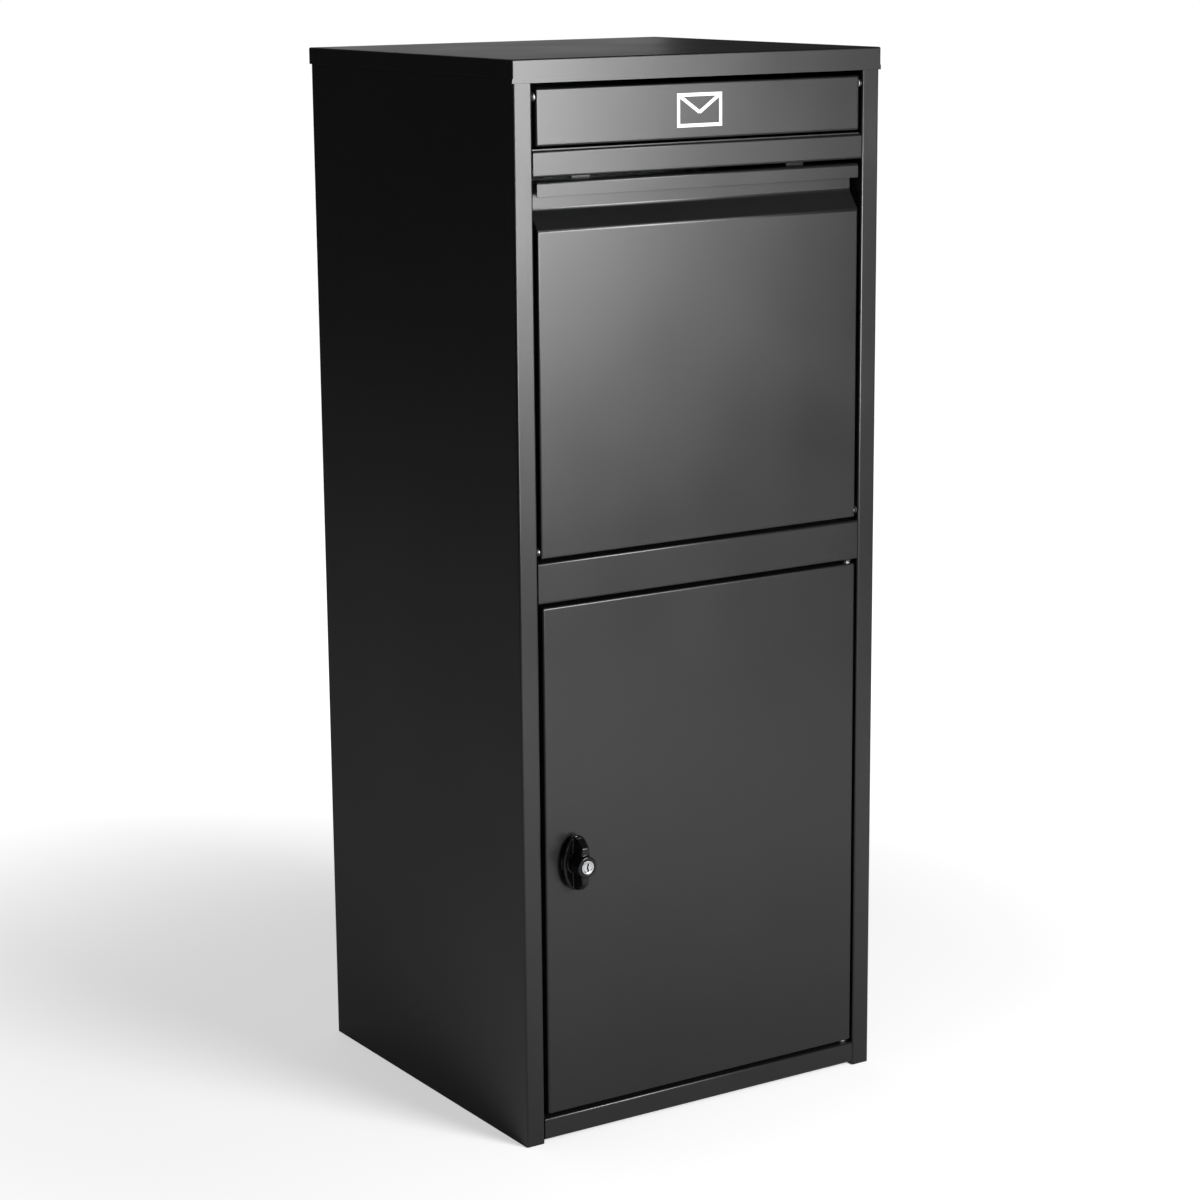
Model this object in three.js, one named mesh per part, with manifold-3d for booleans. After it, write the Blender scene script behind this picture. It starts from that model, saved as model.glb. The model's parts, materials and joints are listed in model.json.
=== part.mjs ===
// Parcel drop box: a free-standing cabinet folded from painted sheet steel.
// Letters go in at the top flap, parcels at the tilting hopper, and both are taken out at the lower door.
// Millimetres, +Z up. The front faces -Y, +X is to the right of someone facing it.
// The origin is on the floor under the middle of the base plate's width and of the cap's depth.
import * as THREE from "three";
import { mergeVertices } from "three/addons/utils/BufferGeometryUtils.js";
import Module from "manifold-3d";

const wasm = await Module();
wasm.setup();

// ---------------------------------------------------------------- driving dimensions

// Over the cap, and floor to top.
const CAP_WIDTH = 410;
const CAP_DEPTH = 385;
const HEIGHT = 1020;

// Sheet steel and the clearances between pieces.
const SHEET = 1;
const BEND_RADIUS = 1; // inside a fold
const BEND_STEPS = 4;
const ROUND_SIDES = 24;
const FINE_SIDES = 32; // on the lock
const RIVET_SIDES = 16;
const SEAM = 0.1; // between two sheets fixed flat together
const SLIP = 0.2; // between the cap's skirts and the walls they slip over
const BUTT = 0.3; // where the end of a piece meets its neighbour
const OVERCUT = 2; // how far a cutting solid runs past what it cuts

// Cap and walls.
const CAP_FRONT_SKIRT = 21.2;
const CAP_SIDE_SKIRT = 16;
const STILE_WIDTH = 20;
const FRAME_DEPTH = 16; // the stiles' returns and the rails' flanges
const BACK_FLANGE = 15;
const BASE_FLANGE = 20;

// Heights of the front, from the cap down to the middle rail and from the floor up to the door.
const FLAP_TOP_GAP = 4.8;
const FLAP_HEIGHT = 51.3;
const LETTER_RAIL_HEIGHT = 23.6;
const LIP_HEIGHT = 13.7;
const GRIP_OPENING = 30.5;
const HOPPER_PANEL_HEIGHT = 299;
const MIDDLE_RAIL_HEIGHT = 38.7;
const BOTTOM_RAIL_HEIGHT = 21.1;
const BOTTOM_RAIL_LIFT = 3.5;
const LEAF_GAP = 3.7; // above and below each leaf

// Gaps beside the leaves.
const FLAP_SIDE_GAP = 3.5;
const HOPPER_SIDE_GAP = 4;
const DOOR_LOCK_GAP = 4.5;
const DOOR_HINGE_GAP = 3;

// Letter flap.
const FLAP_FLANGE = 9;
const FLAP_HEM_DEPTH = 16;
const FLAP_HEM_HEIGHT = 24;
const FLAP_AXIS_BACK = 4.7; // behind the front
const FLAP_AXIS_DROP = 7.5; // below the flap's top edge

// Hopper.
const HOPPER_AXIS_BACK = 6.3;
const HOPPER_BOTTOM_FLANGE = 18;
const HOPPER_SIDE_FLANGE = 14;
const GRIP_DEPTH = 13;
const GRIP_SLOPE = THREE.MathUtils.degToRad(54);
const FAN_ANGLE = THREE.MathUtils.degToRad(47.1);
const FAN_TOP_CLEARANCE = 7; // below the hopper's top edge
const FAN_STOP_WIDTH = 8;
const HOPPER_FLOOR_SLOPE = THREE.MathUtils.degToRad(30);
const HOPPER_FLOOR_LENGTH = 200;
const HOPPER_FLOOR_FLANGE = 12;

// Inner sheets of the cabinet.
const BAFFLE_BACK = 115; // from the back of the cabinet
const BAFFLE_DROP = 265; // below the rear edge of the chute
const BAFFLE_FLANGE = 14;
const BAFFLE_TOOTH_PITCH = 20;
const BAFFLE_TOOTH_HEIGHT = 10;
const CHUTE_FALL = 27;
const CHUTE_REAR_FLANGE = 13;
const CHUTE_SETBACK = 2; // behind the upper rail's bend
const WEATHER_BAR_DEPTH = 4;
const WEATHER_BAR_RISE = 5; // above the flap's axis
const STOP_BRACKET_SETBACK = 8; // behind the rail's face, so that the gap below it looks empty
const STOP_BRACKET_WIDTH = 20;
const STOP_BRACKET_SPACING = 240;
const STOP_BRACKET_DROP = 24;
const BUMPER_RADIUS = 6;
const BUMPER_LENGTH = 6.6;

// Door.
const DOOR_AXIS_BACK = 6;
const DOOR_AXIS_INSET = 6.5;
const DOOR_STOP_WIDTH = 14;
const DOOR_STOP_END_GAP = 14;
const STIFFENER_DEPTH = 10;
const STIFFENER_CROWN = 24;
const STIFFENER_FOOT = 13;
const STIFFENER_END_GAP = 34;
const STIFFENER_HEIGHT_SHARE = 0.26; // of the door's height, from its top and from its bottom

// Hinge pins and their bushes.
const PIN_RADIUS = 2.5;
const FLAP_PIN_RADIUS = 1.5;
const PIN_HEAD_RADIUS = 3.6;
const PIN_HEAD = 1.8;
const PIN_COLLAR_RADIUS = 4;
const PIN_COLLAR = 1.2;
const PIN_REACH = 4.5;
const RUNNING_CLEARANCE = 0.2;
const BUSH_WALL = 0.9;
const BUSH_RIM = 1.2;
const BUSH_RIM_WIDTH = 1.1;
const BUSH_SNAP = 0.4;

// Lock.
const LOCK_INSET = 30.3; // from the door's free edge
const KNOB_WIDTH = 30;
const KNOB_HEIGHT = 54;
const KNOB_PLATE = 4;
const KNOB_LENGTH = 22; // from its underside to the front of its hub
const KNOB_HUB_RADIUS = 10.3;
const KNOB_HUB_CHAMFER = 1;
const KNOB_FOOT_INSET = 1; // from the foot's rim to the end of the grip
const OVAL_SIDES = 40;
const KNOB_GRIP_WIDTH = 10;
const KNOB_GRIP_TOP = 35; // height of the grip at its front
const KNOB_GRIP_SETBACK = 3.5; // the grip stops this far behind the hub's front
const PLUG_RADIUS = 6.4;
const PLUG_PROUD = 0.5;
const PLUG_CHAMFER = 0.4;
const PLUG_DEPTH = 17;
const PLUG_CLEARANCE = 0.2;
const KEYWAY_WIDTH = 1.3;
const KEYWAY_HEIGHT = 8;
const KEYWAY_DEPTH = 10;
const HOUSING_RADIUS = 9.4;
const HOUSING_HEAD_RADIUS = 14;
const HOUSING_HEAD = 1.9;
const GASKET = 1;
const GASKET_RADIUS = 14.6;
const SPINDLE_RADIUS = 6.9;
const SPINDLE_SQUARE = 8;
const SPINDLE_TENON = 2;
const NUT_FLATS = 24;
const NUT_THICKNESS = 4;
const CAM_THICKNESS = 2;
const CAM_WIDTH = 18;
const CAM_REACH = 40;
const CAM_END_SIDES = 8;
const CAM_CLEARANCE = 0.6; // behind the strip that it locks against
const SCREW_RADIUS = 2.5;
const SCREW_HEAD_RADIUS = 5;
const SCREW_HEAD = 2.6;
const SCREW_LENGTH = 10;

// Rivets and open holes.
const RIVET_RADIUS = 1.6;
const RIVET_HEAD_RADIUS = 3.4;
const RIVET_HEAD = 0.8;
const RIVET_TAIL_RADIUS = 2.5;
const RIVET_TAIL = 2;
const RIVETS_PER_SIDE = 4;
const RIVET_EDGE = 60; // from the ends of the back panel to the first rivet
const HOLE_CLEARANCE = 0.1;
const ANCHOR_HOLE_RADIUS = 5;
const ANCHOR_INSET = 45;
const WALL_HOLE_RADIUS = 4;
const WALL_HOLE_INSET = 60;
const WALL_HOLE_DROP = 140;

// ---------------------------------------------------------------- places worked out from them

const wallHalf = CAP_WIDTH / 2 - SHEET - SLIP;
const front = -(CAP_DEPTH / 2 - SHEET - SLIP);
const back = -front;
const wallTop = HEIGHT - SHEET - BEND_RADIUS;
const openHalf = wallHalf - STILE_WIDTH;
const insideHalf = wallHalf - SHEET - BUTT;
const frameBack = front + FRAME_DEPTH;
const backSheetFace = back - SHEET - SEAM; // outer face of the walls' rear flanges

const flapTop = HEIGHT - CAP_FRONT_SKIRT - FLAP_TOP_GAP;
const flapBottom = flapTop - FLAP_HEIGHT;
const letterRailTop = flapBottom - LEAF_GAP;
const letterRailBottom = letterRailTop - LETTER_RAIL_HEIGHT;
const hopperTop = letterRailBottom - LEAF_GAP;
const lipBottom = hopperTop - LIP_HEIGHT;
const panelTop = lipBottom - GRIP_OPENING;
const hopperBottom = panelTop - HOPPER_PANEL_HEIGHT;
const middleRailTop = hopperBottom - LEAF_GAP;
const middleRailBottom = middleRailTop - MIDDLE_RAIL_HEIGHT;
const doorTop = middleRailBottom - LEAF_GAP;
const bottomRailTop = BOTTOM_RAIL_LIFT + BOTTOM_RAIL_HEIGHT;
const doorBottom = bottomRailTop + LEAF_GAP;

const flapHalf = openHalf - FLAP_SIDE_GAP;
const flapAxis = { y: front + FLAP_AXIS_BACK, z: flapTop - FLAP_AXIS_DROP };

const hopperHalf = openHalf - HOPPER_SIDE_GAP;
const hopperFloorTop = hopperBottom + 2 * SHEET + SEAM; // where the floor plate lies on the front's flange
const hopperAxis = { y: front + HOPPER_AXIS_BACK, z: hopperFloorTop + BUTT + PIN_HEAD_RADIUS };
const sidePlateOuter = hopperHalf - SHEET - SEAM;
const floorHalf = sidePlateOuter - SHEET - SEAM;

const doorLeft = -openHalf + DOOR_LOCK_GAP;
const doorRight = openHalf - DOOR_HINGE_GAP;
const doorAxis = { x: doorRight - DOOR_AXIS_INSET, y: front + DOOR_AXIS_BACK };
const doorStopBack = frameBack + BEND_RADIUS + SHEET;
const doorFlange = doorStopBack - SHEET - BUTT - front;

const lock = { x: doorLeft + LOCK_INSET, z: (doorTop + doorBottom) / 2 };
const housingFront = front - SEAM - GASKET - SEAM - HOUSING_HEAD;
const knobBack = housingFront - BUTT;
const knobFront = knobBack - KNOB_LENGTH;
const camFront = doorStopBack + CAM_CLEARANCE;
const camBack = camFront + CAM_THICKNESS;
const housingBack = camFront - BUTT;

const baffleFront = back - BAFFLE_BACK;
const chuteFront = front + SHEET + BEND_RADIUS + CHUTE_SETBACK;
const chuteTop = letterRailTop + SEAM + SHEET;
const chuteRearTop = chuteTop - CHUTE_FALL;
const gripBack = front + GRIP_DEPTH;

// ---------------------------------------------------------------- finishes

const finish = (color, roughness, metalness) =>
  new THREE.MeshStandardMaterial({ color, roughness, metalness });
const powderCoat = finish(0x2b2c2e, 0.45, 0.2);
const galvanised = finish(0x9a9c9e, 0.5, 0.9);
const brightZinc = finish(0xb9bcc0, 0.3, 1);
const chrome = finish(0xe4e6e8, 0.08, 1);
const glossPlastic = finish(0x08080a, 0.12, 0);
const nylon = finish(0x1a1a1a, 0.55, 0);
const rubber = finish(0x111111, 0.9, 0);

// ---------------------------------------------------------------- shaping tools

// The closed geometry as a solid that can be joined and cut.
function solid(geometry, place = new THREE.Matrix4()) {
  const bare = geometry.clone().applyMatrix4(place);
  bare.deleteAttribute("normal");
  bare.deleteAttribute("uv");
  const merged = mergeVertices(bare, 1e-4);
  return new wasm.Manifold(
    new wasm.Mesh({
      numProp: 3,
      vertProperties: new Float32Array(merged.attributes.position.array),
      triVerts: new Uint32Array(merged.index.array),
    }),
  );
}

// A named mesh of a finished solid, in the cabinet's frame.
function piece(name, body, material) {
  const { vertProperties, triVerts } = body.getMesh();
  const geometry = new THREE.BufferGeometry();
  geometry.setAttribute("position", new THREE.BufferAttribute(vertProperties, 3));
  geometry.setIndex(new THREE.BufferAttribute(triVerts, 1));
  geometry.computeVertexNormals();
  const mesh = new THREE.Mesh(geometry, material);
  mesh.name = name;
  return mesh;
}

// Which way an outline's own axes and its extrusion point, for each axis that it may be drawn out along.
const X = new THREE.Vector3(1, 0, 0);
const Y = new THREE.Vector3(0, 1, 0);
const Z = new THREE.Vector3(0, 0, 1);
const AXES = {
  x: new THREE.Matrix4().makeBasis(Y, Z, X), // the outline is [y, z]
  y: new THREE.Matrix4().makeBasis(X, Z, Y.clone().negate()), // the outline is [x, z]
  z: new THREE.Matrix4(), // the outline is [x, y]
};

// An outline drawn out along an axis, between two places on it.
function prism(outline, axis, from, to) {
  const shape = new THREE.Shape(outline.map(([u, v]) => new THREE.Vector2(u, v)));
  const geometry = new THREE.ExtrudeGeometry(shape, { depth: to - from, bevelEnabled: false });
  geometry.applyMatrix4(AXES[axis]);
  const start = axis === "y" ? to : from;
  return geometry.translate(...["x", "y", "z"].map((name) => (name === axis ? start : 0)));
}

const bar = (outline, axis, from, to) => solid(prism(outline, axis, from, to));

// A rectangular block between two opposite corners.
function block([x0, y0, z0], [x1, y1, z1]) {
  const geometry = new THREE.BoxGeometry(x1 - x0, y1 - y0, z1 - z0);
  return solid(geometry.translate((x0 + x1) / 2, (y0 + y1) / 2, (z0 + z1) / 2));
}

// A round bar centred on a point, used for holes and shafts.
function rod(axis, radius, length, x, y, z, sides = ROUND_SIDES) {
  const geometry = new THREE.CylinderGeometry(radius, radius, length, sides);
  if (axis === "x") geometry.rotateZ(Math.PI / 2);
  if (axis === "z") geometry.rotateX(Math.PI / 2);
  return solid(geometry.translate(x, y, z));
}

// A turned piece on the Z axis, from [radius, z] corners.
function turned(profile, sides = ROUND_SIDES) {
  const points = profile.map(([radius, z]) => new THREE.Vector2(radius, z));
  return solid(new THREE.LatheGeometry(points, sides).rotateX(Math.PI / 2));
}

// The outline of a folded sheet seen end-on. The corners give one face, and the sheet lies to its right.
function folded(corners, thickness = SHEET, inside = BEND_RADIUS) {
  const near = [];
  const far = [];
  const points = corners.map(([u, v]) => new THREE.Vector2(u, v));
  const right = (v) => new THREE.Vector2(v.y, -v.x);
  points.forEach((here, i) => {
    const into = here.clone().sub(points[Math.max(i - 1, 0)]).normalize();
    const out = points[Math.min(i + 1, points.length - 1)].clone().sub(here).normalize();
    if (i === 0 || i === points.length - 1) {
      near.push(here);
      far.push(here.clone().addScaledVector(right(i === 0 ? out : into), thickness));
      return;
    }
    const turn = Math.atan2(into.cross(out), into.dot(out));
    const nearRadius = turn < 0 ? inside + thickness : inside;
    const farRadius = turn < 0 ? inside : inside + thickness;
    const start = here.clone().addScaledVector(into, -nearRadius * Math.tan(Math.abs(turn) / 2));
    const centre = start.clone().addScaledVector(right(into), -Math.sign(turn) * nearRadius);
    const spoke = start.clone().sub(centre).normalize();
    for (let step = 0; step <= BEND_STEPS; step += 1) {
      const arm = spoke.clone().rotateAround(new THREE.Vector2(), (turn * step) / BEND_STEPS);
      near.push(centre.clone().addScaledVector(arm, nearRadius));
      far.push(centre.clone().addScaledVector(arm, farRadius));
    }
  });
  return near.concat(far.reverse()).map((point) => [point.x, point.y]);
}

// The outline of a trough: a floor at v = from with rounded corners, and walls up to v = to.
function trough(width, from, to, radius) {
  const half = width / 2;
  const corner = (u, start) =>
    Array.from({ length: BEND_STEPS + 1 }, (_, step) => {
      const angle = start + ((Math.PI / 2) * step) / BEND_STEPS;
      return [u + radius * Math.cos(angle), from + radius + radius * Math.sin(angle)];
    });
  return [
    [-half, to],
    ...corner(-half + radius, Math.PI),
    ...corner(half - radius, 1.5 * Math.PI),
    [half, to],
  ];
}

// A shallow tray folded from one sheet. Before it is placed, its face is at y = 0, centred in x and z,
// and its flanges run back to y = depth.
function tray(width, height, depth, place) {
  const swap = (outline) => outline.map(([u, v]) => [v, u]);
  const filled = (inset, to, radius) => {
    const w = width - 2 * inset;
    const h = height - 2 * inset;
    const across = prism(trough(w, inset, to, radius), "z", -h / 2, h / 2);
    const upright = prism(swap(trough(h, inset, to, radius)), "x", -w / 2, w / 2);
    return solid(across, place).intersect(solid(upright, place));
  };
  const outside = filled(0, depth, BEND_RADIUS + SHEET);
  return outside.subtract(filled(SHEET, depth + OVERCUT, BEND_RADIUS));
}

// A tray whose face looks forward, up or down.
const facingForward = (x, y, z) => new THREE.Matrix4().makeTranslation(x, y, z);
const facingUp = (z) => new THREE.Matrix4().makeRotationX(-Math.PI / 2).setPosition(0, 0, z);
const facingDown = (y) => new THREE.Matrix4().makeRotationX(Math.PI / 2).setPosition(0, y, 0);

const bushHoleRadius = (pinRadius) => pinRadius + RUNNING_CLEARANCE + BUSH_WALL + HOLE_CLEARANCE;

// ---------------------------------------------------------------- cabinet sheets

// The lid: one folded sheet whose front skirt is deeper than the others.
function topCap() {
  const cap = tray(CAP_WIDTH, CAP_DEPTH, CAP_FRONT_SKIRT, facingUp(HEIGHT));
  const low = HEIGHT - CAP_FRONT_SKIRT - OVERCUT;
  const behindSkirt = -CAP_DEPTH / 2 + SHEET + BEND_RADIUS;
  const shorter = block(
    [-CAP_WIDTH / 2 - OVERCUT, behindSkirt, low],
    [CAP_WIDTH / 2 + OVERCUT, CAP_DEPTH / 2 + OVERCUT, HEIGHT - CAP_SIDE_SKIRT],
  );
  return cap.subtract(shorter).subtract(capRivetHoles());
}

// A wall with its front stile, the stile's return and the rear flange, all folded from one sheet.
function sidePanel(side) {
  const plan = folded([
    [-openHalf, frameBack],
    [-openHalf, front],
    [-wallHalf, front],
    [-wallHalf, backSheetFace],
    [-wallHalf + BACK_FLANGE, backSheetFace],
  ]).map(([x, y]) => [-side * x, y]);
  const bushHole = (radius, { y, z }) =>
    rod("x", bushHoleRadius(radius), STILE_WIDTH / 2, side * openHalf, y, z);
  return bar(plan, "z", 0, wallTop)
    .subtract(bushHole(FLAP_PIN_RADIUS, flapAxis))
    .subtract(bushHole(PIN_RADIUS, hopperAxis))
    .subtract(backRivetHoles(side));
}

function backPanel() {
  const half = wallHalf - SHEET - BEND_RADIUS - SEAM;
  let panel = block([-half, back - SHEET, BUTT], [half, back, wallTop]);
  for (const side of [-1, 1]) {
    panel = panel.subtract(backRivetHoles(side));
    for (const z of [WALL_HOLE_DROP, HEIGHT - WALL_HOLE_DROP]) {
      const x = side * (wallHalf - WALL_HOLE_INSET);
      panel = panel.subtract(rod("y", WALL_HOLE_RADIUS, 4 * SHEET, x, back, z));
    }
  }
  return panel.subtract(capRivetHoles());
}

// The floor: a tray standing on the ground, with holes for floor anchors.
function basePlate() {
  const frontEdge = frameBack + BUTT;
  const rearEdge = backSheetFace - SHEET - BUTT;
  const place = facingDown((frontEdge + rearEdge) / 2);
  let plate = tray(2 * insideHalf, rearEdge - frontEdge, BASE_FLANGE, place);
  for (const x of [-insideHalf + ANCHOR_INSET, insideHalf - ANCHOR_INSET]) {
    for (const y of [frontEdge + ANCHOR_INSET, rearEdge - ANCHOR_INSET]) {
      plate = plate.subtract(rod("z", ANCHOR_HOLE_RADIUS, 4 * SHEET, x, y, 0));
    }
  }
  return plate;
}

// A channel between the stiles, with its web to the front.
function rail(bottom, top) {
  const section = folded([
    [frameBack, bottom],
    [front, bottom],
    [front, top],
    [frameBack, top],
  ]);
  return bar(section, "x", -openHalf + BUTT, openHalf - BUTT);
}

const doorBushHole = (z) => rod("z", bushHoleRadius(PIN_RADIUS), 6 * SHEET, doorAxis.x, doorAxis.y, z);

// Hidden behind the flap's top edge, it stops the flap from swinging out.
function weatherBar() {
  const y = front + FLAP_FLANGE + 2 * BUTT;
  return block(
    [-openHalf + BUTT, y, flapAxis.z + WEATHER_BAR_RISE],
    [openHalf - BUTT, y + WEATHER_BAR_DEPTH, flapTop - SLIP],
  );
}

// Carries letters over the hopper to the shaft behind the baffle.
function letterChute() {
  const rear = baffleFront - SEAM;
  const section = folded([
    [chuteFront, chuteTop],
    [frameBack + BUTT, chuteTop],
    [rear, chuteRearTop],
    [rear, chuteRearTop - CHUTE_REAR_FLANGE],
  ]);
  let sheet = bar(section, "x", -insideHalf, insideHalf);
  for (const side of [-1, 1]) {
    const inner = side * (openHalf - BUTT);
    const outer = side * (wallHalf + OVERCUT);
    const notch = block(
      [Math.min(inner, outer), front - OVERCUT, letterRailTop - OVERCUT],
      [Math.max(inner, outer), frameBack + BUTT, chuteTop + OVERCUT],
    );
    sheet = sheet.subtract(notch);
  }
  return sheet;
}

// Hangs behind the hopper. Its toothed edge keeps a hand from reaching down through the open hopper.
function antiFishingBaffle() {
  const top = chuteRearTop - BEND_RADIUS - 2 * SHEET;
  const low = chuteRearTop - BAFFLE_DROP;
  const teeth = Math.floor((2 * insideHalf) / BAFFLE_TOOTH_PITCH);
  const half = (teeth * BAFFLE_TOOTH_PITCH) / 2;
  const outline = [
    [insideHalf, top],
    [-insideHalf, top],
    [-insideHalf, low],
  ];
  for (let tooth = 0; tooth < teeth; tooth += 1) {
    const x = -half + tooth * BAFFLE_TOOTH_PITCH;
    outline.push([x, low], [x + BAFFLE_TOOTH_PITCH / 2, low - BAFFLE_TOOTH_HEIGHT]);
  }
  outline.push([half, low], [insideHalf, low]);
  let sheet = bar(outline, "y", baffleFront, baffleFront + SHEET);
  for (const side of [-1, 1]) {
    const x = side * (insideHalf - SHEET / 2);
    const flange = block(
      [x - SHEET / 2, baffleFront, low],
      [x + SHEET / 2, baffleFront + BAFFLE_FLANGE, top],
    );
    sheet = sheet.add(flange);
  }
  return sheet;
}

// The strip inside the left stile that the closed door rests against and the cam turns in behind.
function doorStopStrip() {
  const face = -openHalf - 2 * SHEET - SEAM;
  const plan = folded([
    [face, front + SHEET + BEND_RADIUS + SEAM],
    [face, doorStopBack],
    [-openHalf + DOOR_STOP_WIDTH, doorStopBack],
  ]);
  return bar(plan, "z", doorBottom + DOOR_STOP_END_GAP, doorTop - DOOR_STOP_END_GAP);
}

// A bracket on the letter rail's lower flange, which holds a bumper behind the closed hopper's top edge.
const bracketBack = gripBack + SHEET + BUTT + BUMPER_LENGTH + SEAM + SHEET;

function stopBracket(x) {
  const top = letterRailBottom + 2 * SHEET + SEAM;
  const section = folded([
    [front + STOP_BRACKET_SETBACK, top],
    [bracketBack, top],
    [bracketBack, top - STOP_BRACKET_DROP],
  ]);
  return bar(section, "x", x - STOP_BRACKET_WIDTH / 2, x + STOP_BRACKET_WIDTH / 2);
}

function hopperBumper(x) {
  const rear = bracketBack - SHEET - SEAM;
  const z = (lipBottom + hopperTop) / 2;
  return rod("y", BUMPER_RADIUS, BUMPER_LENGTH, x, rear - BUMPER_LENGTH / 2, z);
}

// ---------------------------------------------------------------- rivets

const rivetHole = (x, z) => rod("y", RIVET_RADIUS + HOLE_CLEARANCE, 12 * SHEET, x, back, z, RIVET_SIDES);
const backRivetX = wallHalf - BACK_FLANGE / 2;
const backRivetZ = (i) =>
  RIVET_EDGE + (i * (wallTop - 2 * RIVET_EDGE)) / (RIVETS_PER_SIDE - 1);
const capRivetX = CAP_WIDTH / 4;
const capRivetZ = HEIGHT - CAP_SIDE_SKIRT / 2;

function backRivetHoles(side) {
  let holes = rivetHole(side * backRivetX, backRivetZ(0));
  for (let i = 1; i < RIVETS_PER_SIDE; i += 1) {
    holes = holes.add(rivetHole(side * backRivetX, backRivetZ(i)));
  }
  return holes;
}

function capRivetHoles() {
  return rivetHole(-capRivetX, capRivetZ).add(rivetHole(capRivetX, capRivetZ));
}

// A blind rivet through two sheets. Its head seats at z = 0 and its shank runs down from there.
function rivet(grip) {
  const tail = -grip - SEAM;
  return turned(
    [
      [0, tail - RIVET_TAIL],
      [RIVET_TAIL_RADIUS, tail - RIVET_TAIL],
      [RIVET_TAIL_RADIUS, tail],
      [RIVET_RADIUS, tail],
      [RIVET_RADIUS, SEAM],
      [RIVET_HEAD_RADIUS, SEAM],
      [RIVET_HEAD_RADIUS / 2, SEAM + RIVET_HEAD],
      [0, SEAM + RIVET_HEAD],
    ],
    RIVET_SIDES,
  );
}

// ---------------------------------------------------------------- hinge pins and bushes

// A pin fixed in a leaf. The leaf's outer face is at z = 0, and the pin crosses the gap into the frame.
function hingePin(radius, grip, gap, headRadius) {
  const seat = -grip - SEAM;
  const tip = gap + SHEET + PIN_REACH;
  return turned([
    [0, seat - PIN_HEAD],
    [headRadius, seat - PIN_HEAD],
    [headRadius, seat],
    [radius, seat],
    [radius, SEAM],
    [PIN_COLLAR_RADIUS, SEAM],
    [PIN_COLLAR_RADIUS, SEAM + PIN_COLLAR],
    [radius, SEAM + PIN_COLLAR],
    [radius, tip - radius / 3],
    [(2 * radius) / 3, tip],
    [0, tip],
  ]);
}

// The snap-in bush that the pin turns in. Its rim lies on the frame's face, at z = gap.
function hingeBush(radius, gap) {
  const bore = radius + RUNNING_CLEARANCE;
  const neck = bore + BUSH_WALL;
  const face = gap - SEAM;
  const behind = gap + SHEET + SEAM;
  return turned([
    [bore, face - BUSH_RIM],
    [neck + BUSH_RIM_WIDTH, face - BUSH_RIM],
    [neck + BUSH_RIM_WIDTH, face],
    [neck, face],
    [neck, behind],
    [neck + BUSH_SNAP, behind],
    [neck, behind + BUSH_RIM],
    [bore, behind + BUSH_RIM],
    [bore, face - BUSH_RIM],
  ]);
}

// ---------------------------------------------------------------- letter flap

// A shallow tray. The hem along its lower edge stiffens it and keeps its weight behind the pins,
// so it hangs closed.
function letterFlap() {
  const middle = (flapTop + flapBottom) / 2;
  const body = tray(2 * flapHalf, FLAP_HEIGHT, FLAP_FLANGE, facingForward(0, front, middle));
  const hem = folded([
    [front + FLAP_HEM_DEPTH, flapBottom + FLAP_HEM_HEIGHT],
    [front + FLAP_HEM_DEPTH, flapBottom],
    [front + FLAP_FLANGE / 2, flapBottom],
  ]);
  const hemHalf = flapHalf - SHEET - BEND_RADIUS;
  const holeRadius = FLAP_PIN_RADIUS + HOLE_CLEARANCE;
  const pinHoles = rod("x", holeRadius, 2 * flapHalf + OVERCUT, 0, flapAxis.y, flapAxis.z);
  return body.add(bar(hem, "x", -hemHalf, hemHalf)).subtract(pinHoles);
}

// ---------------------------------------------------------------- hopper

// The front with the finger channel folded into its upper edge.
function hopperFront() {
  const slopeRise = GRIP_DEPTH * Math.tan(GRIP_SLOPE);
  const section = folded([
    [front + HOPPER_BOTTOM_FLANGE, hopperBottom],
    [front, hopperBottom],
    [front, panelTop],
    [gripBack, panelTop + slopeRise],
    [gripBack, hopperTop - SHEET],
    [front + SHEET, hopperTop - SHEET],
    [front + SHEET, lipBottom],
  ]);
  let sheet = bar(section, "x", -hopperHalf, hopperHalf);
  for (const side of [-1, 1]) {
    const edge = side * (hopperHalf - SHEET / 2);
    const flange = block(
      [edge - SHEET / 2, front + SHEET / 2, hopperBottom + SHEET / 2],
      [edge + SHEET / 2, front + HOPPER_SIDE_FLANGE, panelTop - HOPPER_SIDE_FLANGE / 2],
    );
    sheet = sheet.add(flange);
  }
  const roundedPlan = trough(2 * hopperHalf, 0, GRIP_DEPTH + HOPPER_BOTTOM_FLANGE, BEND_RADIUS + SHEET);
  const envelope = bar(
    roundedPlan.map(([x, y]) => [x, y + front]),
    "z",
    hopperBottom - OVERCUT,
    hopperTop + OVERCUT,
  );
  return sheet.intersect(envelope).subtract(hopperPinHoles());
}

function hopperPinHoles() {
  return rod("x", PIN_RADIUS + HOLE_CLEARANCE, 2 * hopperHalf + OVERCUT, 0, hopperAxis.y, hopperAxis.z);
}

// Where the hopper's floor plate bends down, on its upper face, and where it ends.
const floorBend = {
  y: front + HOPPER_BOTTOM_FLANGE + BUTT,
  z: hopperFloorTop,
};
const floorAlong = new THREE.Vector2(Math.cos(HOPPER_FLOOR_SLOPE), -Math.sin(HOPPER_FLOOR_SLOPE));
const floorUp = new THREE.Vector2(Math.sin(HOPPER_FLOOR_SLOPE), Math.cos(HOPPER_FLOOR_SLOPE));
const onFloor = (along, up) => [
  floorBend.y + along * floorAlong.x + up * floorUp.x,
  floorBend.z + along * floorAlong.y + up * floorUp.y,
];

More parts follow.
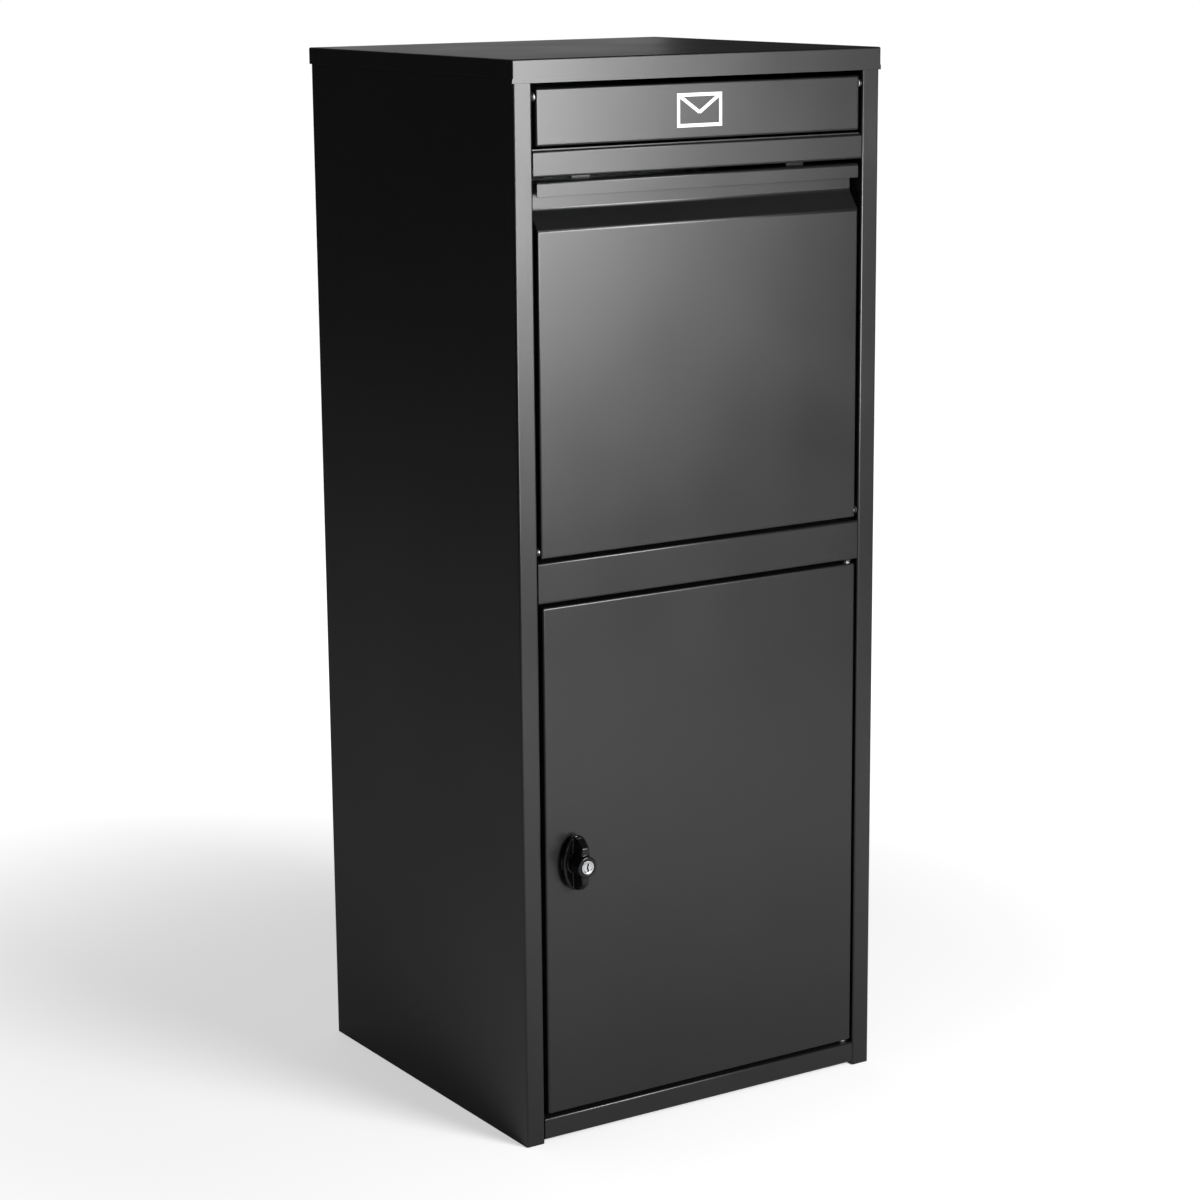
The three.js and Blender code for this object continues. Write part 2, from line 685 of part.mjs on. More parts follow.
// A fan-shaped cheek. It closes the gap beside the tilted front, and its rear flange meets the stile
// when the hopper is fully open.
function hopperSide(side) {
  const radius = hopperTop - FAN_TOP_CLEARANCE - hopperAxis.z;
  const startAngle = Math.asin((gripBack + 2 * SHEET - hopperAxis.y) / radius);
  const arc = [];
  const arcSteps = 16;
  for (let step = 0; step <= arcSteps; step += 1) {
    const angle = startAngle + ((FAN_ANGLE - startAngle) * step) / arcSteps;
    arc.push([hopperAxis.y + radius * Math.sin(angle), hopperAxis.z + radius * Math.cos(angle)]);
  }
  const behindFront = front + SHEET + BUTT;
  const slopeRise = (gripBack + 2 * SHEET - behindFront) * Math.tan(GRIP_SLOPE);
  const lowCorner = onFloor(HOPPER_FLOOR_LENGTH, BUTT);
  const cornerAngle = arc[arc.length - 1];
  const outline = [
    [behindFront, hopperBottom + SHEET + BUTT],
    [behindFront, panelTop - 2 * SHEET],
    [gripBack + 2 * SHEET, panelTop - 2 * SHEET + slopeRise],
    ...arc,
    lowCorner,
    onFloor(0, BUTT),
    [floorBend.y - BUTT, hopperBottom + SHEET + BUTT],
  ];
  const rear = new THREE.Vector2(lowCorner[0] - cornerAngle[0], lowCorner[1] - cornerAngle[1]);
  const inward = new THREE.Vector2(rear.y, -rear.x).normalize().multiplyScalar(SHEET);
  const strip = [
    cornerAngle,
    lowCorner,
    [lowCorner[0] + inward.x, lowCorner[1] + inward.y],
    [cornerAngle[0] + inward.x, cornerAngle[1] + inward.y],
  ];
  const between = (a, b) => [Math.min(side * a, side * b), Math.max(side * a, side * b)];
  const cheek = bar(outline, "x", ...between(sidePlateOuter - SHEET, sidePlateOuter));
  const flange = bar(strip, "x", ...between(sidePlateOuter - SHEET, sidePlateOuter + FAN_STOP_WIDTH));
  return cheek.add(flange).subtract(hopperPinHoles());
}

// The sloped plate that a parcel rests on while the hopper is open, and slides off as it closes.
function hopperFloor() {
  const section = folded([
    [front + SHEET + BEND_RADIUS + SEAM, floorBend.z],
    [floorBend.y, floorBend.z],
    onFloor(HOPPER_FLOOR_LENGTH, 0),
    onFloor(HOPPER_FLOOR_LENGTH, -HOPPER_FLOOR_FLANGE),
  ]);
  let plate = bar(section, "x", -floorHalf, floorHalf);
  const clear = HOPPER_FLOOR_FLANGE;
  const strip = [
    onFloor(clear, -SHEET / 2),
    onFloor(HOPPER_FLOOR_LENGTH - clear, -SHEET / 2),
    onFloor(HOPPER_FLOOR_LENGTH - clear, HOPPER_FLOOR_FLANGE),
    onFloor(clear, HOPPER_FLOOR_FLANGE),
  ];
  for (const edge of [-floorHalf, floorHalf - SHEET]) {
    plate = plate.add(bar(strip, "x", edge, edge + SHEET));
  }
  return plate;
}

// ---------------------------------------------------------------- door

function doorPanel() {
  const width = doorRight - doorLeft;
  const height = doorTop - doorBottom;
  const place = facingForward((doorLeft + doorRight) / 2, front, (doorTop + doorBottom) / 2);
  const pinHole = (z) => rod("z", PIN_RADIUS + HOLE_CLEARANCE, 4 * SHEET, doorAxis.x, doorAxis.y, z);
  return tray(width, height, doorFlange, place)
    .subtract(pinHole(doorTop))
    .subtract(pinHole(doorBottom))
    .subtract(rod("y", HOUSING_RADIUS + HOLE_CLEARANCE, 4 * SHEET, lock.x, front, lock.z, FINE_SIDES));
}

// A top-hat section across the inside of the door.
function doorStiffener(z) {
  const foot = front + SHEET + SEAM;
  const crown = foot + STIFFENER_DEPTH;
  const half = STIFFENER_CROWN / 2;
  const section = folded([
    [foot + SHEET, z - half - STIFFENER_FOOT],
    [foot + SHEET, z - half],
    [crown, z - half],
    [crown, z + half],
    [foot + SHEET, z + half],
    [foot + SHEET, z + half + STIFFENER_FOOT],
  ].reverse());
  return bar(section, "x", doorLeft + STIFFENER_END_GAP, doorRight - STIFFENER_END_GAP);
}

// ---------------------------------------------------------------- lock

// Pieces of the lock are turned on the Y axis through its centre. A profile gives [radius, y].
function onLockAxis(profile, sides = FINE_SIDES) {
  const points = profile.map(([radius, y]) => new THREE.Vector2(radius, y));
  return solid(new THREE.LatheGeometry(points, sides).translate(lock.x, 0, lock.z));
}

function lockGasket() {
  const bore = HOUSING_RADIUS + HOLE_CLEARANCE;
  return onLockAxis([
    [bore, front - SEAM - GASKET],
    [GASKET_RADIUS, front - SEAM - GASKET],
    [GASKET_RADIUS, front - SEAM],
    [bore, front - SEAM],
    [bore, front - SEAM - GASKET],
  ]);
}

function lockHousing() {
  const bore = SPINDLE_RADIUS + RUNNING_CLEARANCE;
  const headBack = housingFront + HOUSING_HEAD;
  return onLockAxis([
    [bore, housingFront],
    [HOUSING_HEAD_RADIUS, housingFront],
    [HOUSING_HEAD_RADIUS, headBack],
    [HOUSING_RADIUS, headBack],
    [HOUSING_RADIUS, housingBack],
    [bore, housingBack],
    [bore, housingFront],
  ]);
}

function lockNut() {
  const start = front + SHEET + SEAM;
  const across = NUT_FLATS / 2 / Math.cos(Math.PI / 6);
  const hexagon = new THREE.CylinderGeometry(across, across, NUT_THICKNESS, 6);
  const y = start + NUT_THICKNESS / 2;
  const bore = rod("y", HOUSING_RADIUS + HOLE_CLEARANCE, 2 * NUT_THICKNESS, lock.x, y, lock.z, FINE_SIDES);
  return solid(hexagon.translate(lock.x, y, lock.z)).subtract(bore);
}

// An oval plate with an upright grip across it and a round hub that holds the key plug.
function lockKnob() {
  const oval = new THREE.EllipseCurve(lock.x, lock.z, KNOB_WIDTH / 2, KNOB_HEIGHT / 2)
    .getPoints(OVAL_SIDES)
    .slice(1)
    .map(({ x, y }) => [x, y]);
  const plate = bar(oval, "y", knobBack - KNOB_PLATE, knobBack);
  const gripFront = knobFront + KNOB_GRIP_SETBACK;
  const foot = KNOB_HEIGHT / 2 - KNOB_FOOT_INSET;
  const gripSide = [
    [knobBack - KNOB_PLATE / 2, lock.z - foot],
    [knobBack - KNOB_PLATE / 2, lock.z + foot],
    [knobBack - KNOB_PLATE, lock.z + foot],
    [gripFront, lock.z + KNOB_GRIP_TOP / 2],
    [gripFront, lock.z - KNOB_GRIP_TOP / 2],
    [knobBack - KNOB_PLATE, lock.z - foot],
  ];
  const grip = bar(gripSide, "x", lock.x - KNOB_GRIP_WIDTH / 2, lock.x + KNOB_GRIP_WIDTH / 2);
  const inOval = bar(oval, "y", knobFront - OVERCUT, knobBack);
  const hub = onLockAxis([
    [0, knobFront],
    [KNOB_HUB_RADIUS - KNOB_HUB_CHAMFER, knobFront],
    [KNOB_HUB_RADIUS, knobFront + KNOB_HUB_CHAMFER],
    [KNOB_HUB_RADIUS, knobBack - KNOB_PLATE / 2],
    [0, knobBack - KNOB_PLATE / 2],
  ]);
  const bore = rod(
    "y",
    PLUG_RADIUS + PLUG_CLEARANCE,
    2 * (PLUG_DEPTH + PLUG_CLEARANCE),
    lock.x,
    knobFront,
    lock.z,
    FINE_SIDES,
  );
  const socketRadius = SPINDLE_RADIUS + HOLE_CLEARANCE;
  const socket = rod("y", socketRadius, 2 * SPINDLE_TENON, lock.x, knobBack, lock.z, FINE_SIDES);
  return plate.add(grip.intersect(inOval)).add(hub).subtract(bore).subtract(socket);
}

// Turns in the housing, with its front end in the knob and a square end for the cam.
function lockSpindle() {
  const frontEnd = knobBack - SPINDLE_TENON + BUTT;
  const round = rod(
    "y",
    SPINDLE_RADIUS,
    housingBack - frontEnd,
    lock.x,
    (frontEnd + housingBack) / 2,
    lock.z,
    FINE_SIDES,
  );
  const half = SPINDLE_SQUARE / 2;
  const square = block(
    [lock.x - half, housingBack - SHEET, lock.z - half],
    [lock.x + half, camBack, lock.z + half],
  );
  const tapped = rod("y", SCREW_RADIUS + HOLE_CLEARANCE, 2 * SCREW_LENGTH, lock.x, camBack, lock.z);
  return round.add(square).subtract(tapped);
}

// The tongue that turns in behind the door stop. It hangs down while the lock is open.
function lockCam() {
  const half = CAM_WIDTH / 2;
  const round = (x, z, start) =>
    Array.from({ length: CAM_END_SIDES + 1 }, (_, step) => {
      const angle = start + (Math.PI * step) / CAM_END_SIDES;
      return [x + half * Math.cos(angle), z + half * Math.sin(angle)];
    });
  const outline = [
    ...round(lock.x, lock.z, 0),
    ...round(lock.x, lock.z - CAM_REACH + half, Math.PI),
  ];
  const hole = SPINDLE_SQUARE / 2 + HOLE_CLEARANCE;
  const squareHole = block(
    [lock.x - hole, camFront - OVERCUT, lock.z - hole],
    [lock.x + hole, camBack + OVERCUT, lock.z + hole],
  );
  return bar(outline, "y", camFront, camBack).subtract(squareHole);
}

function camScrew() {
  const seat = camBack + SEAM;
  return onLockAxis(
    [
      [0, seat - SCREW_LENGTH + BUTT],
      [SCREW_RADIUS, seat - SCREW_LENGTH + BUTT],
      [SCREW_RADIUS, seat],
      [SCREW_HEAD_RADIUS, seat],
      [SCREW_HEAD_RADIUS, seat + SCREW_HEAD / 2],
      [SCREW_HEAD_RADIUS / 2, seat + SCREW_HEAD],
      [0, seat + SCREW_HEAD],
    ],
    ROUND_SIDES,
  );
}

// The key plug, with its keyway upright.
function lockPlug() {
  const face = knobFront - PLUG_PROUD;
  const rear = knobFront + PLUG_DEPTH;
  const barrel = onLockAxis([
    [0, face],
    [PLUG_RADIUS - PLUG_CHAMFER, face],
    [PLUG_RADIUS, face + PLUG_CHAMFER],
    [PLUG_RADIUS, rear],
    [0, rear],
  ]);
  const keyway = block(
    [lock.x - KEYWAY_WIDTH / 2, face - OVERCUT, lock.z - KEYWAY_HEIGHT / 2],
    [lock.x + KEYWAY_WIDTH / 2, face + KEYWAY_DEPTH, lock.z + KEYWAY_HEIGHT / 2],
  );
  return barrel.subtract(keyway);
}

// ---------------------------------------------------------------- assembly

const cabinet = new THREE.Group();
cabinet.name = "cabinet";

// A moving group whose own origin lies on its axis. Its pieces keep the places they are drawn in.
function pivot(parent, name, x, y, z) {
  const group = new THREE.Group();
  group.name = name;
  group.position.set(x, y, z);
  cabinet.add(group);
  parent.attach(group);
  return group;
}
const flap = pivot(cabinet, "letter_flap_pivot", 0, flapAxis.y, flapAxis.z);
const hopper = pivot(cabinet, "hopper_pivot", 0, hopperAxis.y, hopperAxis.z);
const door = pivot(cabinet, "door_pivot", doorAxis.x, doorAxis.y, doorBottom);
const knob = pivot(door, "knob_pivot", lock.x, front, lock.z);
const plug = pivot(knob, "plug_pivot", lock.x, knobFront, lock.z);

// Puts a repeated piece in its place and hands it to the group that it moves with.
function seat(group, mesh, x, y, z, turnAbout = null, angle = 0) {
  mesh.position.set(x, y, z);
  if (turnAbout) mesh.setRotationFromAxisAngle(turnAbout, angle);
  cabinet.add(mesh);
  group.attach(mesh);
}

cabinet.add(
  piece("top_cap", topCap(), powderCoat),
  piece("left_side_panel", sidePanel(-1), powderCoat),
  piece("right_side_panel", sidePanel(1), powderCoat),
  piece("back_panel", backPanel(), powderCoat),
  piece("base_plate", basePlate(), powderCoat),
  piece("letter_rail", rail(letterRailBottom, letterRailTop), powderCoat),
  piece(
    "middle_rail",
    rail(middleRailBottom, middleRailTop).subtract(doorBushHole(middleRailBottom)),
    powderCoat,
  ),
  piece(
    "bottom_rail",
    rail(BOTTOM_RAIL_LIFT, bottomRailTop).subtract(doorBushHole(bottomRailTop)),
    powderCoat,
  ),
  piece("weather_bar", weatherBar(), powderCoat),
  piece("letter_chute", letterChute(), powderCoat),
  piece("anti_fishing_baffle", antiFishingBaffle(), galvanised),
  piece("door_stop_strip", doorStopStrip(), powderCoat),
);

for (const [name, x] of [
  ["left", -STOP_BRACKET_SPACING / 2],
  ["right", STOP_BRACKET_SPACING / 2],
]) {
  cabinet.add(piece(`hopper_stop_bracket_${name}`, stopBracket(x), powderCoat));
  cabinet.add(piece(`hopper_bumper_${name}`, hopperBumper(x), rubber));
}

for (const [name, side] of [
  ["left", -1],
  ["right", 1],
]) {
  const quarter = (side * Math.PI) / 2;
  const flapPin = hingePin(FLAP_PIN_RADIUS, SHEET, FLAP_SIDE_GAP, FLAP_PIN_RADIUS);
  const flapBush = hingeBush(FLAP_PIN_RADIUS, FLAP_SIDE_GAP);
  const hopperGrip = 2 * SHEET + SEAM;
  const hopperPin = hingePin(PIN_RADIUS, hopperGrip, HOPPER_SIDE_GAP, PIN_HEAD_RADIUS);
  const hopperBush = hingeBush(PIN_RADIUS, HOPPER_SIDE_GAP);
  const flapPlace = [side * flapHalf, flapAxis.y, flapAxis.z, Y, quarter];
  const hopperPlace = [side * hopperHalf, hopperAxis.y, hopperAxis.z, Y, quarter];
  seat(flap, piece(`flap_pin_${name}`, flapPin, brightZinc), ...flapPlace);
  seat(cabinet, piece(`flap_bush_${name}`, flapBush, nylon), ...flapPlace);
  seat(hopper, piece(`hopper_pin_${name}`, hopperPin, brightZinc), ...hopperPlace);
  seat(cabinet, piece(`hopper_bush_${name}`, hopperBush, nylon), ...hopperPlace);
  hopper.attach(piece(`hopper_side_${name}`, hopperSide(side), galvanised));
  for (let i = 0; i < RIVETS_PER_SIDE; i += 1) {
    const backRivet = piece(`back_rivet_${name}_${i + 1}`, rivet(2 * SHEET + SEAM), brightZinc);
    seat(cabinet, backRivet, side * backRivetX, back, backRivetZ(i), X, -Math.PI / 2);
  }
  const capRivet = piece(`cap_rivet_${name}`, rivet(2 * SHEET + SLIP), powderCoat);
  seat(cabinet, capRivet, side * capRivetX, CAP_DEPTH / 2, capRivetZ, X, -Math.PI / 2);
}

flap.attach(piece("letter_flap", letterFlap(), powderCoat));
hopper.attach(piece("hopper_front", hopperFront(), powderCoat));
hopper.attach(piece("hopper_floor", hopperFloor(), galvanised));

const stiffenerRise = STIFFENER_HEIGHT_SHARE * (doorTop - doorBottom);
door.attach(piece("door_panel", doorPanel(), powderCoat));
door.attach(piece("door_stiffener_upper", doorStiffener(doorTop - stiffenerRise), powderCoat));
door.attach(piece("door_stiffener_lower", doorStiffener(doorBottom + stiffenerRise), powderCoat));
for (const [name, z, angle] of [
  ["top", doorTop, 0],
  ["bottom", doorBottom, Math.PI],
]) {
  const doorPin = hingePin(PIN_RADIUS, SHEET, LEAF_GAP, PIN_HEAD_RADIUS);
  const doorBush = hingeBush(PIN_RADIUS, LEAF_GAP);
  const doorPlace = [doorAxis.x, doorAxis.y, z, X, angle];
  seat(door, piece(`door_pin_${name}`, doorPin, brightZinc), ...doorPlace);
  seat(cabinet, piece(`door_bush_${name}`, doorBush, nylon), ...doorPlace);
}
door.attach(piece("lock_gasket", lockGasket(), rubber));
door.attach(piece("lock_housing", lockHousing(), brightZinc));
door.attach(piece("lock_nut", lockNut(), brightZinc));

knob.attach(piece("lock_knob", lockKnob(), glossPlastic));
knob.attach(piece("lock_spindle", lockSpindle(), brightZinc));
knob.attach(piece("lock_cam", lockCam(), brightZinc));
knob.attach(piece("cam_screw", camScrew(), brightZinc));
plug.attach(piece("lock_plug", lockPlug(), chrome));

export default cabinet;
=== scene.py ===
import json
import math

import bpy
from mathutils import Matrix, Vector


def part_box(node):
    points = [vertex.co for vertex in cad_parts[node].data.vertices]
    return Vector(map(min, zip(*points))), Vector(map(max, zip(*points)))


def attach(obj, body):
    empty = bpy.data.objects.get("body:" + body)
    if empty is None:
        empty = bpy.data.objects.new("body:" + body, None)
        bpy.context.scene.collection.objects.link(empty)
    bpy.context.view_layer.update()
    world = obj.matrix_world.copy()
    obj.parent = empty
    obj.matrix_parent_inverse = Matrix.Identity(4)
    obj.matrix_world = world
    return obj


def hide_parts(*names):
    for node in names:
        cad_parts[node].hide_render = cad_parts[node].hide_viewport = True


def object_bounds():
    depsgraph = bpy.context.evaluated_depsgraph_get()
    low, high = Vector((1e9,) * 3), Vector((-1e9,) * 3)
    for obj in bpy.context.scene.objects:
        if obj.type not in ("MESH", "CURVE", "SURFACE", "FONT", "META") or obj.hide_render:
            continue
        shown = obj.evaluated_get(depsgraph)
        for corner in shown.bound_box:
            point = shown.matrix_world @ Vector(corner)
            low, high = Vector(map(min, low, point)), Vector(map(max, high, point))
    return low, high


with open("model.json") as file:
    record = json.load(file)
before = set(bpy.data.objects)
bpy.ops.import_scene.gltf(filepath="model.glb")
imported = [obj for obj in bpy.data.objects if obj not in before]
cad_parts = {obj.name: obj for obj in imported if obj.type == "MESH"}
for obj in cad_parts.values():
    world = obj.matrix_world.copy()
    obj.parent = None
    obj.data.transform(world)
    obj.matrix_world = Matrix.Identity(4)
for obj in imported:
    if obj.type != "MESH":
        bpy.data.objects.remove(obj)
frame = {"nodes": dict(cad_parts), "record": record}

cad_low, cad_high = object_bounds()
nodes = frame["nodes"]


# ---------------------------------------------------------------- camera
# A long lens stands about three metres off the box's left front corner, a little above its cap, and
# looks down on it slightly, so that the front and the left wall both show. It isn't shifted.

bpy.ops.object.select_all(action="DESELECT")
bpy.ops.object.camera_add()
camera = bpy.context.object
camera.location = (-1.609, -2.5121, 1.1328)
looking = Vector((0.5281, 0.8213, -0.2159))
rightward = Vector((0.8401, -0.5423, -0.008))
stance = Matrix((rightward, rightward.cross(looking), -looking)).transposed()
camera.rotation_euler = stance.to_euler()
camera.data.sensor_width = 36
camera.data.lens = 91.27
camera.data.clip_start = 0.1
bpy.context.scene.camera = camera


# ---------------------------------------------------------------- side walls
# Each wall is one folded sheet: the wall itself, the stile beside the doors, the stile's return
# and a flange at the rear that the back panel is riveted to. It is powder-coated after folding.

SHEET = 0.001
FOLD = 0.002  # outside radius of a fold
FOLD_STEPS = 6
FOLD_TURN = math.radians(10)  # a sharper turn than this is a fold
SMOOTH_TURN = math.radians(40)  # a sharper turn than this shows as an edge
BIT_SIDES = 32
CUT_EDGE = 0.00015  # the sheet's cut edges are slightly rounded by the coat
FLAT_WIDTH = 0.0022  # a wider face is a flat, not part of a fold
NEAR = 1e-5  # points closer together than this are the same
RETURN_DEPTH = 0.016
REAR_FLANGE = 0.015
BUSH_COLLAR = 0.0009  # how far a bush's collar reaches over the edge of its hole
TONE_SPREAD = 0.36
GLOSS_SPREAD = 0.1


def grain_group():
    """Tone, gloss and relief of a baked powder coat, whose grains melt into a fine orange peel."""
    group = bpy.data.node_groups.new("baked powder", "ShaderNodeTree")
    group.interface.new_socket("Grain", in_out="INPUT", socket_type="NodeSocketFloat")
    for name in ("Tone", "Gloss", "Height"):
        group.interface.new_socket(name, in_out="OUTPUT", socket_type="NodeSocketFloat")
    make, link = group.nodes.new, group.links.new
    given, result = make("NodeGroupInput"), make("NodeGroupOutput")
    place = make("ShaderNodeTexCoord")
    grain, waves, cloud = (make("ShaderNodeTexNoise") for _ in range(3))
    grain.inputs["Detail"].default_value = 2
    waves.inputs["Scale"].default_value = 9
    waves.inputs["Detail"].default_value = 1
    cloud.inputs["Scale"].default_value = 38
    cloud.inputs["Detail"].default_value = 4
    for noise in (grain, waves, cloud):
        link(place.outputs["Object"], noise.inputs["Vector"])
    link(given.outputs["Grain"], grain.inputs["Scale"])
    tone, gloss = (make("ShaderNodeMath") for _ in range(2))
    swings = ((tone, cloud, TONE_SPREAD, 1), (gloss, waves, GLOSS_SPREAD, 0))
    for node, source, spread, middle in swings:
        node.operation = "MULTIPLY_ADD"
        node.inputs[1].default_value = spread
        node.inputs[2].default_value = middle - spread / 2
        link(source.outputs["Fac"], node.inputs[0])
    link(tone.outputs[0], result.inputs["Tone"])
    link(gloss.outputs[0], result.inputs["Gloss"])
    link(grain.outputs["Fac"], result.inputs["Height"])
    return group


baked_powder = grain_group()


def coated(name, color, roughness, grain, depth):
    """A matt or satin material whose tone, gloss and relief vary as a baked powder coat's do."""
    material = bpy.data.materials.new(name)
    material.use_nodes = True
    tree = material.node_tree
    shader = tree.nodes["Principled BSDF"]
    coat = tree.nodes.new("ShaderNodeGroup")
    coat.node_tree = baked_powder
    coat.inputs["Grain"].default_value = grain
    tint = tree.nodes.new("ShaderNodeMix")
    tint.data_type = "RGBA"
    tint.blend_type = "MULTIPLY"
    tint.inputs["Factor"].default_value = 1
    tint.inputs["A"].default_value = (*color, 1)
    tree.links.new(coat.outputs["Tone"], tint.inputs["B"])
    tree.links.new(tint.outputs["Result"], shader.inputs["Base Color"])
    rough = tree.nodes.new("ShaderNodeMath")
    rough.operation = "ADD"
    rough.inputs[1].default_value = roughness
    tree.links.new(coat.outputs["Gloss"], rough.inputs[0])
    tree.links.new(rough.outputs[0], shader.inputs["Roughness"])
    bump = tree.nodes.new("ShaderNodeBump")
    bump.inputs["Distance"].default_value = depth
    tree.links.new(coat.outputs["Height"], bump.inputs["Height"])
    tree.links.new(bump.outputs["Normal"], shader.inputs["Normal"])
    return material


powder_coat = coated("powder_coat", (0.008, 0.0081, 0.0086), 0.3, 1400, 0.00002)


def paint(piece, material):
    """Puts one material on the whole piece."""
    piece.data.materials.clear()
    piece.data.materials.append(material)


def pick_edges(piece, wanted):
    """Goes into edit mode with only the edges selected whose two ends both pass."""
    bpy.ops.object.mode_set(mode="EDIT")
    bpy.ops.mesh.select_mode(type="EDGE")
    bpy.ops.mesh.select_all(action="DESELECT")
    bpy.ops.object.mode_set(mode="OBJECT")
    points = piece.data.vertices
    for edge in piece.data.edges:
        edge.select = all(wanted(points[i].co) for i in edge.vertices)
    bpy.ops.object.mode_set(mode="EDIT")


def pull_edges(step):
    """Extrudes the selected edges, as a brake folds up the next leg of a sheet."""
    bpy.ops.mesh.extrude_edges_move(TRANSFORM_OT_translate={"value": tuple(step)})


def lay_sheet(name, corner, right, up):
    """A flat sheet, given by its lower left corner and the two beside it, as seen from outside."""
    wide, tall = right - corner, up - corner
    axes = Matrix((wide.normalized(), tall.normalized(), wide.cross(tall).normalized()))
    bpy.ops.object.select_all(action="DESELECT")
    bpy.ops.mesh.primitive_plane_add(
        size=1, location=(right + up) / 2, rotation=axes.transposed().to_euler()
    )
    sheet = bpy.context.object
    sheet.name = sheet.data.name = name
    sheet.scale = (wide.length, tall.length, 1)
    bpy.ops.object.transform_apply(location=True, rotation=True, scale=True)
    return sheet


def apply_modifier(piece, kind, **settings):
    """Adds a modifier to the active piece and applies it."""
    modifier = piece.modifiers.new(kind, kind)
    for setting, value in settings.items():
        setattr(modifier, setting, value)
    bpy.ops.object.modifier_apply(modifier=modifier.name)


def round_folds(piece, radius=FOLD):
    """Goes back to object mode and rounds every fold, but not the sheet's own border."""
    bpy.ops.object.mode_set(mode="OBJECT")
    apply_modifier(
        piece,
        "BEVEL",
        width=radius,
        segments=FOLD_STEPS,
        limit_method="ANGLE",
        angle_limit=FOLD_TURN,
    )


def drill(piece, radius, center, axis, length=0.006):
    """Cuts a round hole, by default one through a single sheet."""
    turn = {"x": (0, math.pi / 2, 0), "y": (math.pi / 2, 0, 0), "z": (0, 0, 0)}[axis]
    bpy.ops.mesh.primitive_cylinder_add(
        vertices=BIT_SIDES, radius=radius, depth=length, location=center, rotation=turn
    )
    bit = bpy.context.object
    bpy.ops.object.select_all(action="DESELECT")
    bpy.context.view_layer.objects.active = piece
    apply_modifier(piece, "BOOLEAN", object=bit, operation="DIFFERENCE", solver="EXACT")
    bpy.data.objects.remove(bit)


def finish_edges(piece, width=CUT_EDGE, angle=50):
    """Breaks the sharp edges, shades the folds smooth and leaves the flats flat."""
    bpy.context.view_layer.objects.active = piece
    piece.select_set(True)
    apply_modifier(
        piece,
        "BEVEL",
        width=width,
        segments=2,
        limit_method="ANGLE",
        angle_limit=math.radians(angle),
    )
    bpy.ops.object.shade_smooth_by_angle(angle=SMOOTH_TURN)
    points = piece.data.vertices
    for face in piece.data.polygons:
        longest = max((points[a].co - points[b].co).length for a, b in face.edge_keys)
        if face.area / longest > FLAT_WIDTH:
            face.use_smooth = False


def fold_strip(name, section, along, start, end):
    """A strip folded to a section of its outer face, which is given in the two other axes."""

    def place(corner, w):
        u, v = corner
        return Vector((w, u, v)) if along == "x" else Vector((u, v, w))

    first, second = section[:2]
    sheet = lay_sheet(name, place(first, start), place(second, start), place(first, end))
    corners = [place(second, w) for w in (start, end)]
    pick_edges(sheet, lambda co: min((co - corner).length for corner in corners) < NEAR)
    for here, there in zip(section[1:], section[2:]):
        pull_edges(place(there, 0) - place(here, 0))
    return sheet


def thicken(piece, side):
    """Gives a folded sheet its thickness, on the side that its normals point to or away from."""
    apply_modifier(piece, "SOLIDIFY", thickness=SHEET, offset=side, use_quality_normals=True)


def stand_in(piece, node, body, material):
    """The piece stands for a node of the frame, moves with its body and takes its finish."""
    paint(piece, material)
    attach(piece, body)
    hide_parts(node)


def middle_of(node):
    """The middle of a node's box."""
    low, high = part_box(node)
    return (low + high) / 2


def copy_of(piece, name, move):
    """A copy with its own mesh, moved or mirrored by a matrix."""
    copy = piece.copy()
    copy.data = piece.data.copy()
    copy.name = copy.data.name = name
    bpy.context.collection.objects.link(copy)
    copy.data.transform(move)
    return copy


wall_low, wall_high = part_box("left_side_panel")
wall_plan = [
    (wall_high.x, wall_low.y + RETURN_DEPTH),
    (wall_high.x, wall_low.y),
    (wall_low.x, wall_low.y),
    (wall_low.x, wall_high.y),
    (wall_low.x + REAR_FLANGE, wall_high.y),
]
left_wall = fold_strip("left_wall", wall_plan, "z", wall_low.z, wall_high.z)
round_folds(left_wall)
thicken(left_wall, 1)
for bush in ("flap_bush_left", "hopper_bush_left"):
    bush_low, bush_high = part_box(bush)
    middle = middle_of(bush)
    neck = (bush_high.z - bush_low.z) / 2 - BUSH_COLLAR
    drill(left_wall, neck, (wall_high.x, middle.y, middle.z), "x")
finish_edges(left_wall)
right_wall = copy_of(left_wall, "right_wall", Matrix.Scale(-1, 4, (1, 0, 0)))
right_wall.data.flip_normals()
stand_in(left_wall, "left_side_panel", "cabinet", powder_coat)
stand_in(right_wall, "right_side_panel", "cabinet", powder_coat)


# ---------------------------------------------------------------- cap
# The lid is folded from one sheet with welded, ground corners and powder-coated. Its front skirt is
# deeper than the others, and two rivets through the back skirt hold it.


def fold_tray(name, corners, flange):
    """A sheet with a flange folded back along all four sides, and with closed corners."""
    sheet = lay_sheet(name, *corners)
    pick_edges(sheet, lambda co: True)
    pull_edges(flange)
    return sheet


def close_tray(sheet, radius=FOLD):
    """Turns the normals outwards, rounds the folds and gives the tray its thickness inwards."""
    bpy.ops.mesh.select_all(action="SELECT")
    bpy.ops.mesh.normals_make_consistent(inside=False)
    round_folds(sheet, radius)
    thicken(sheet, -1)


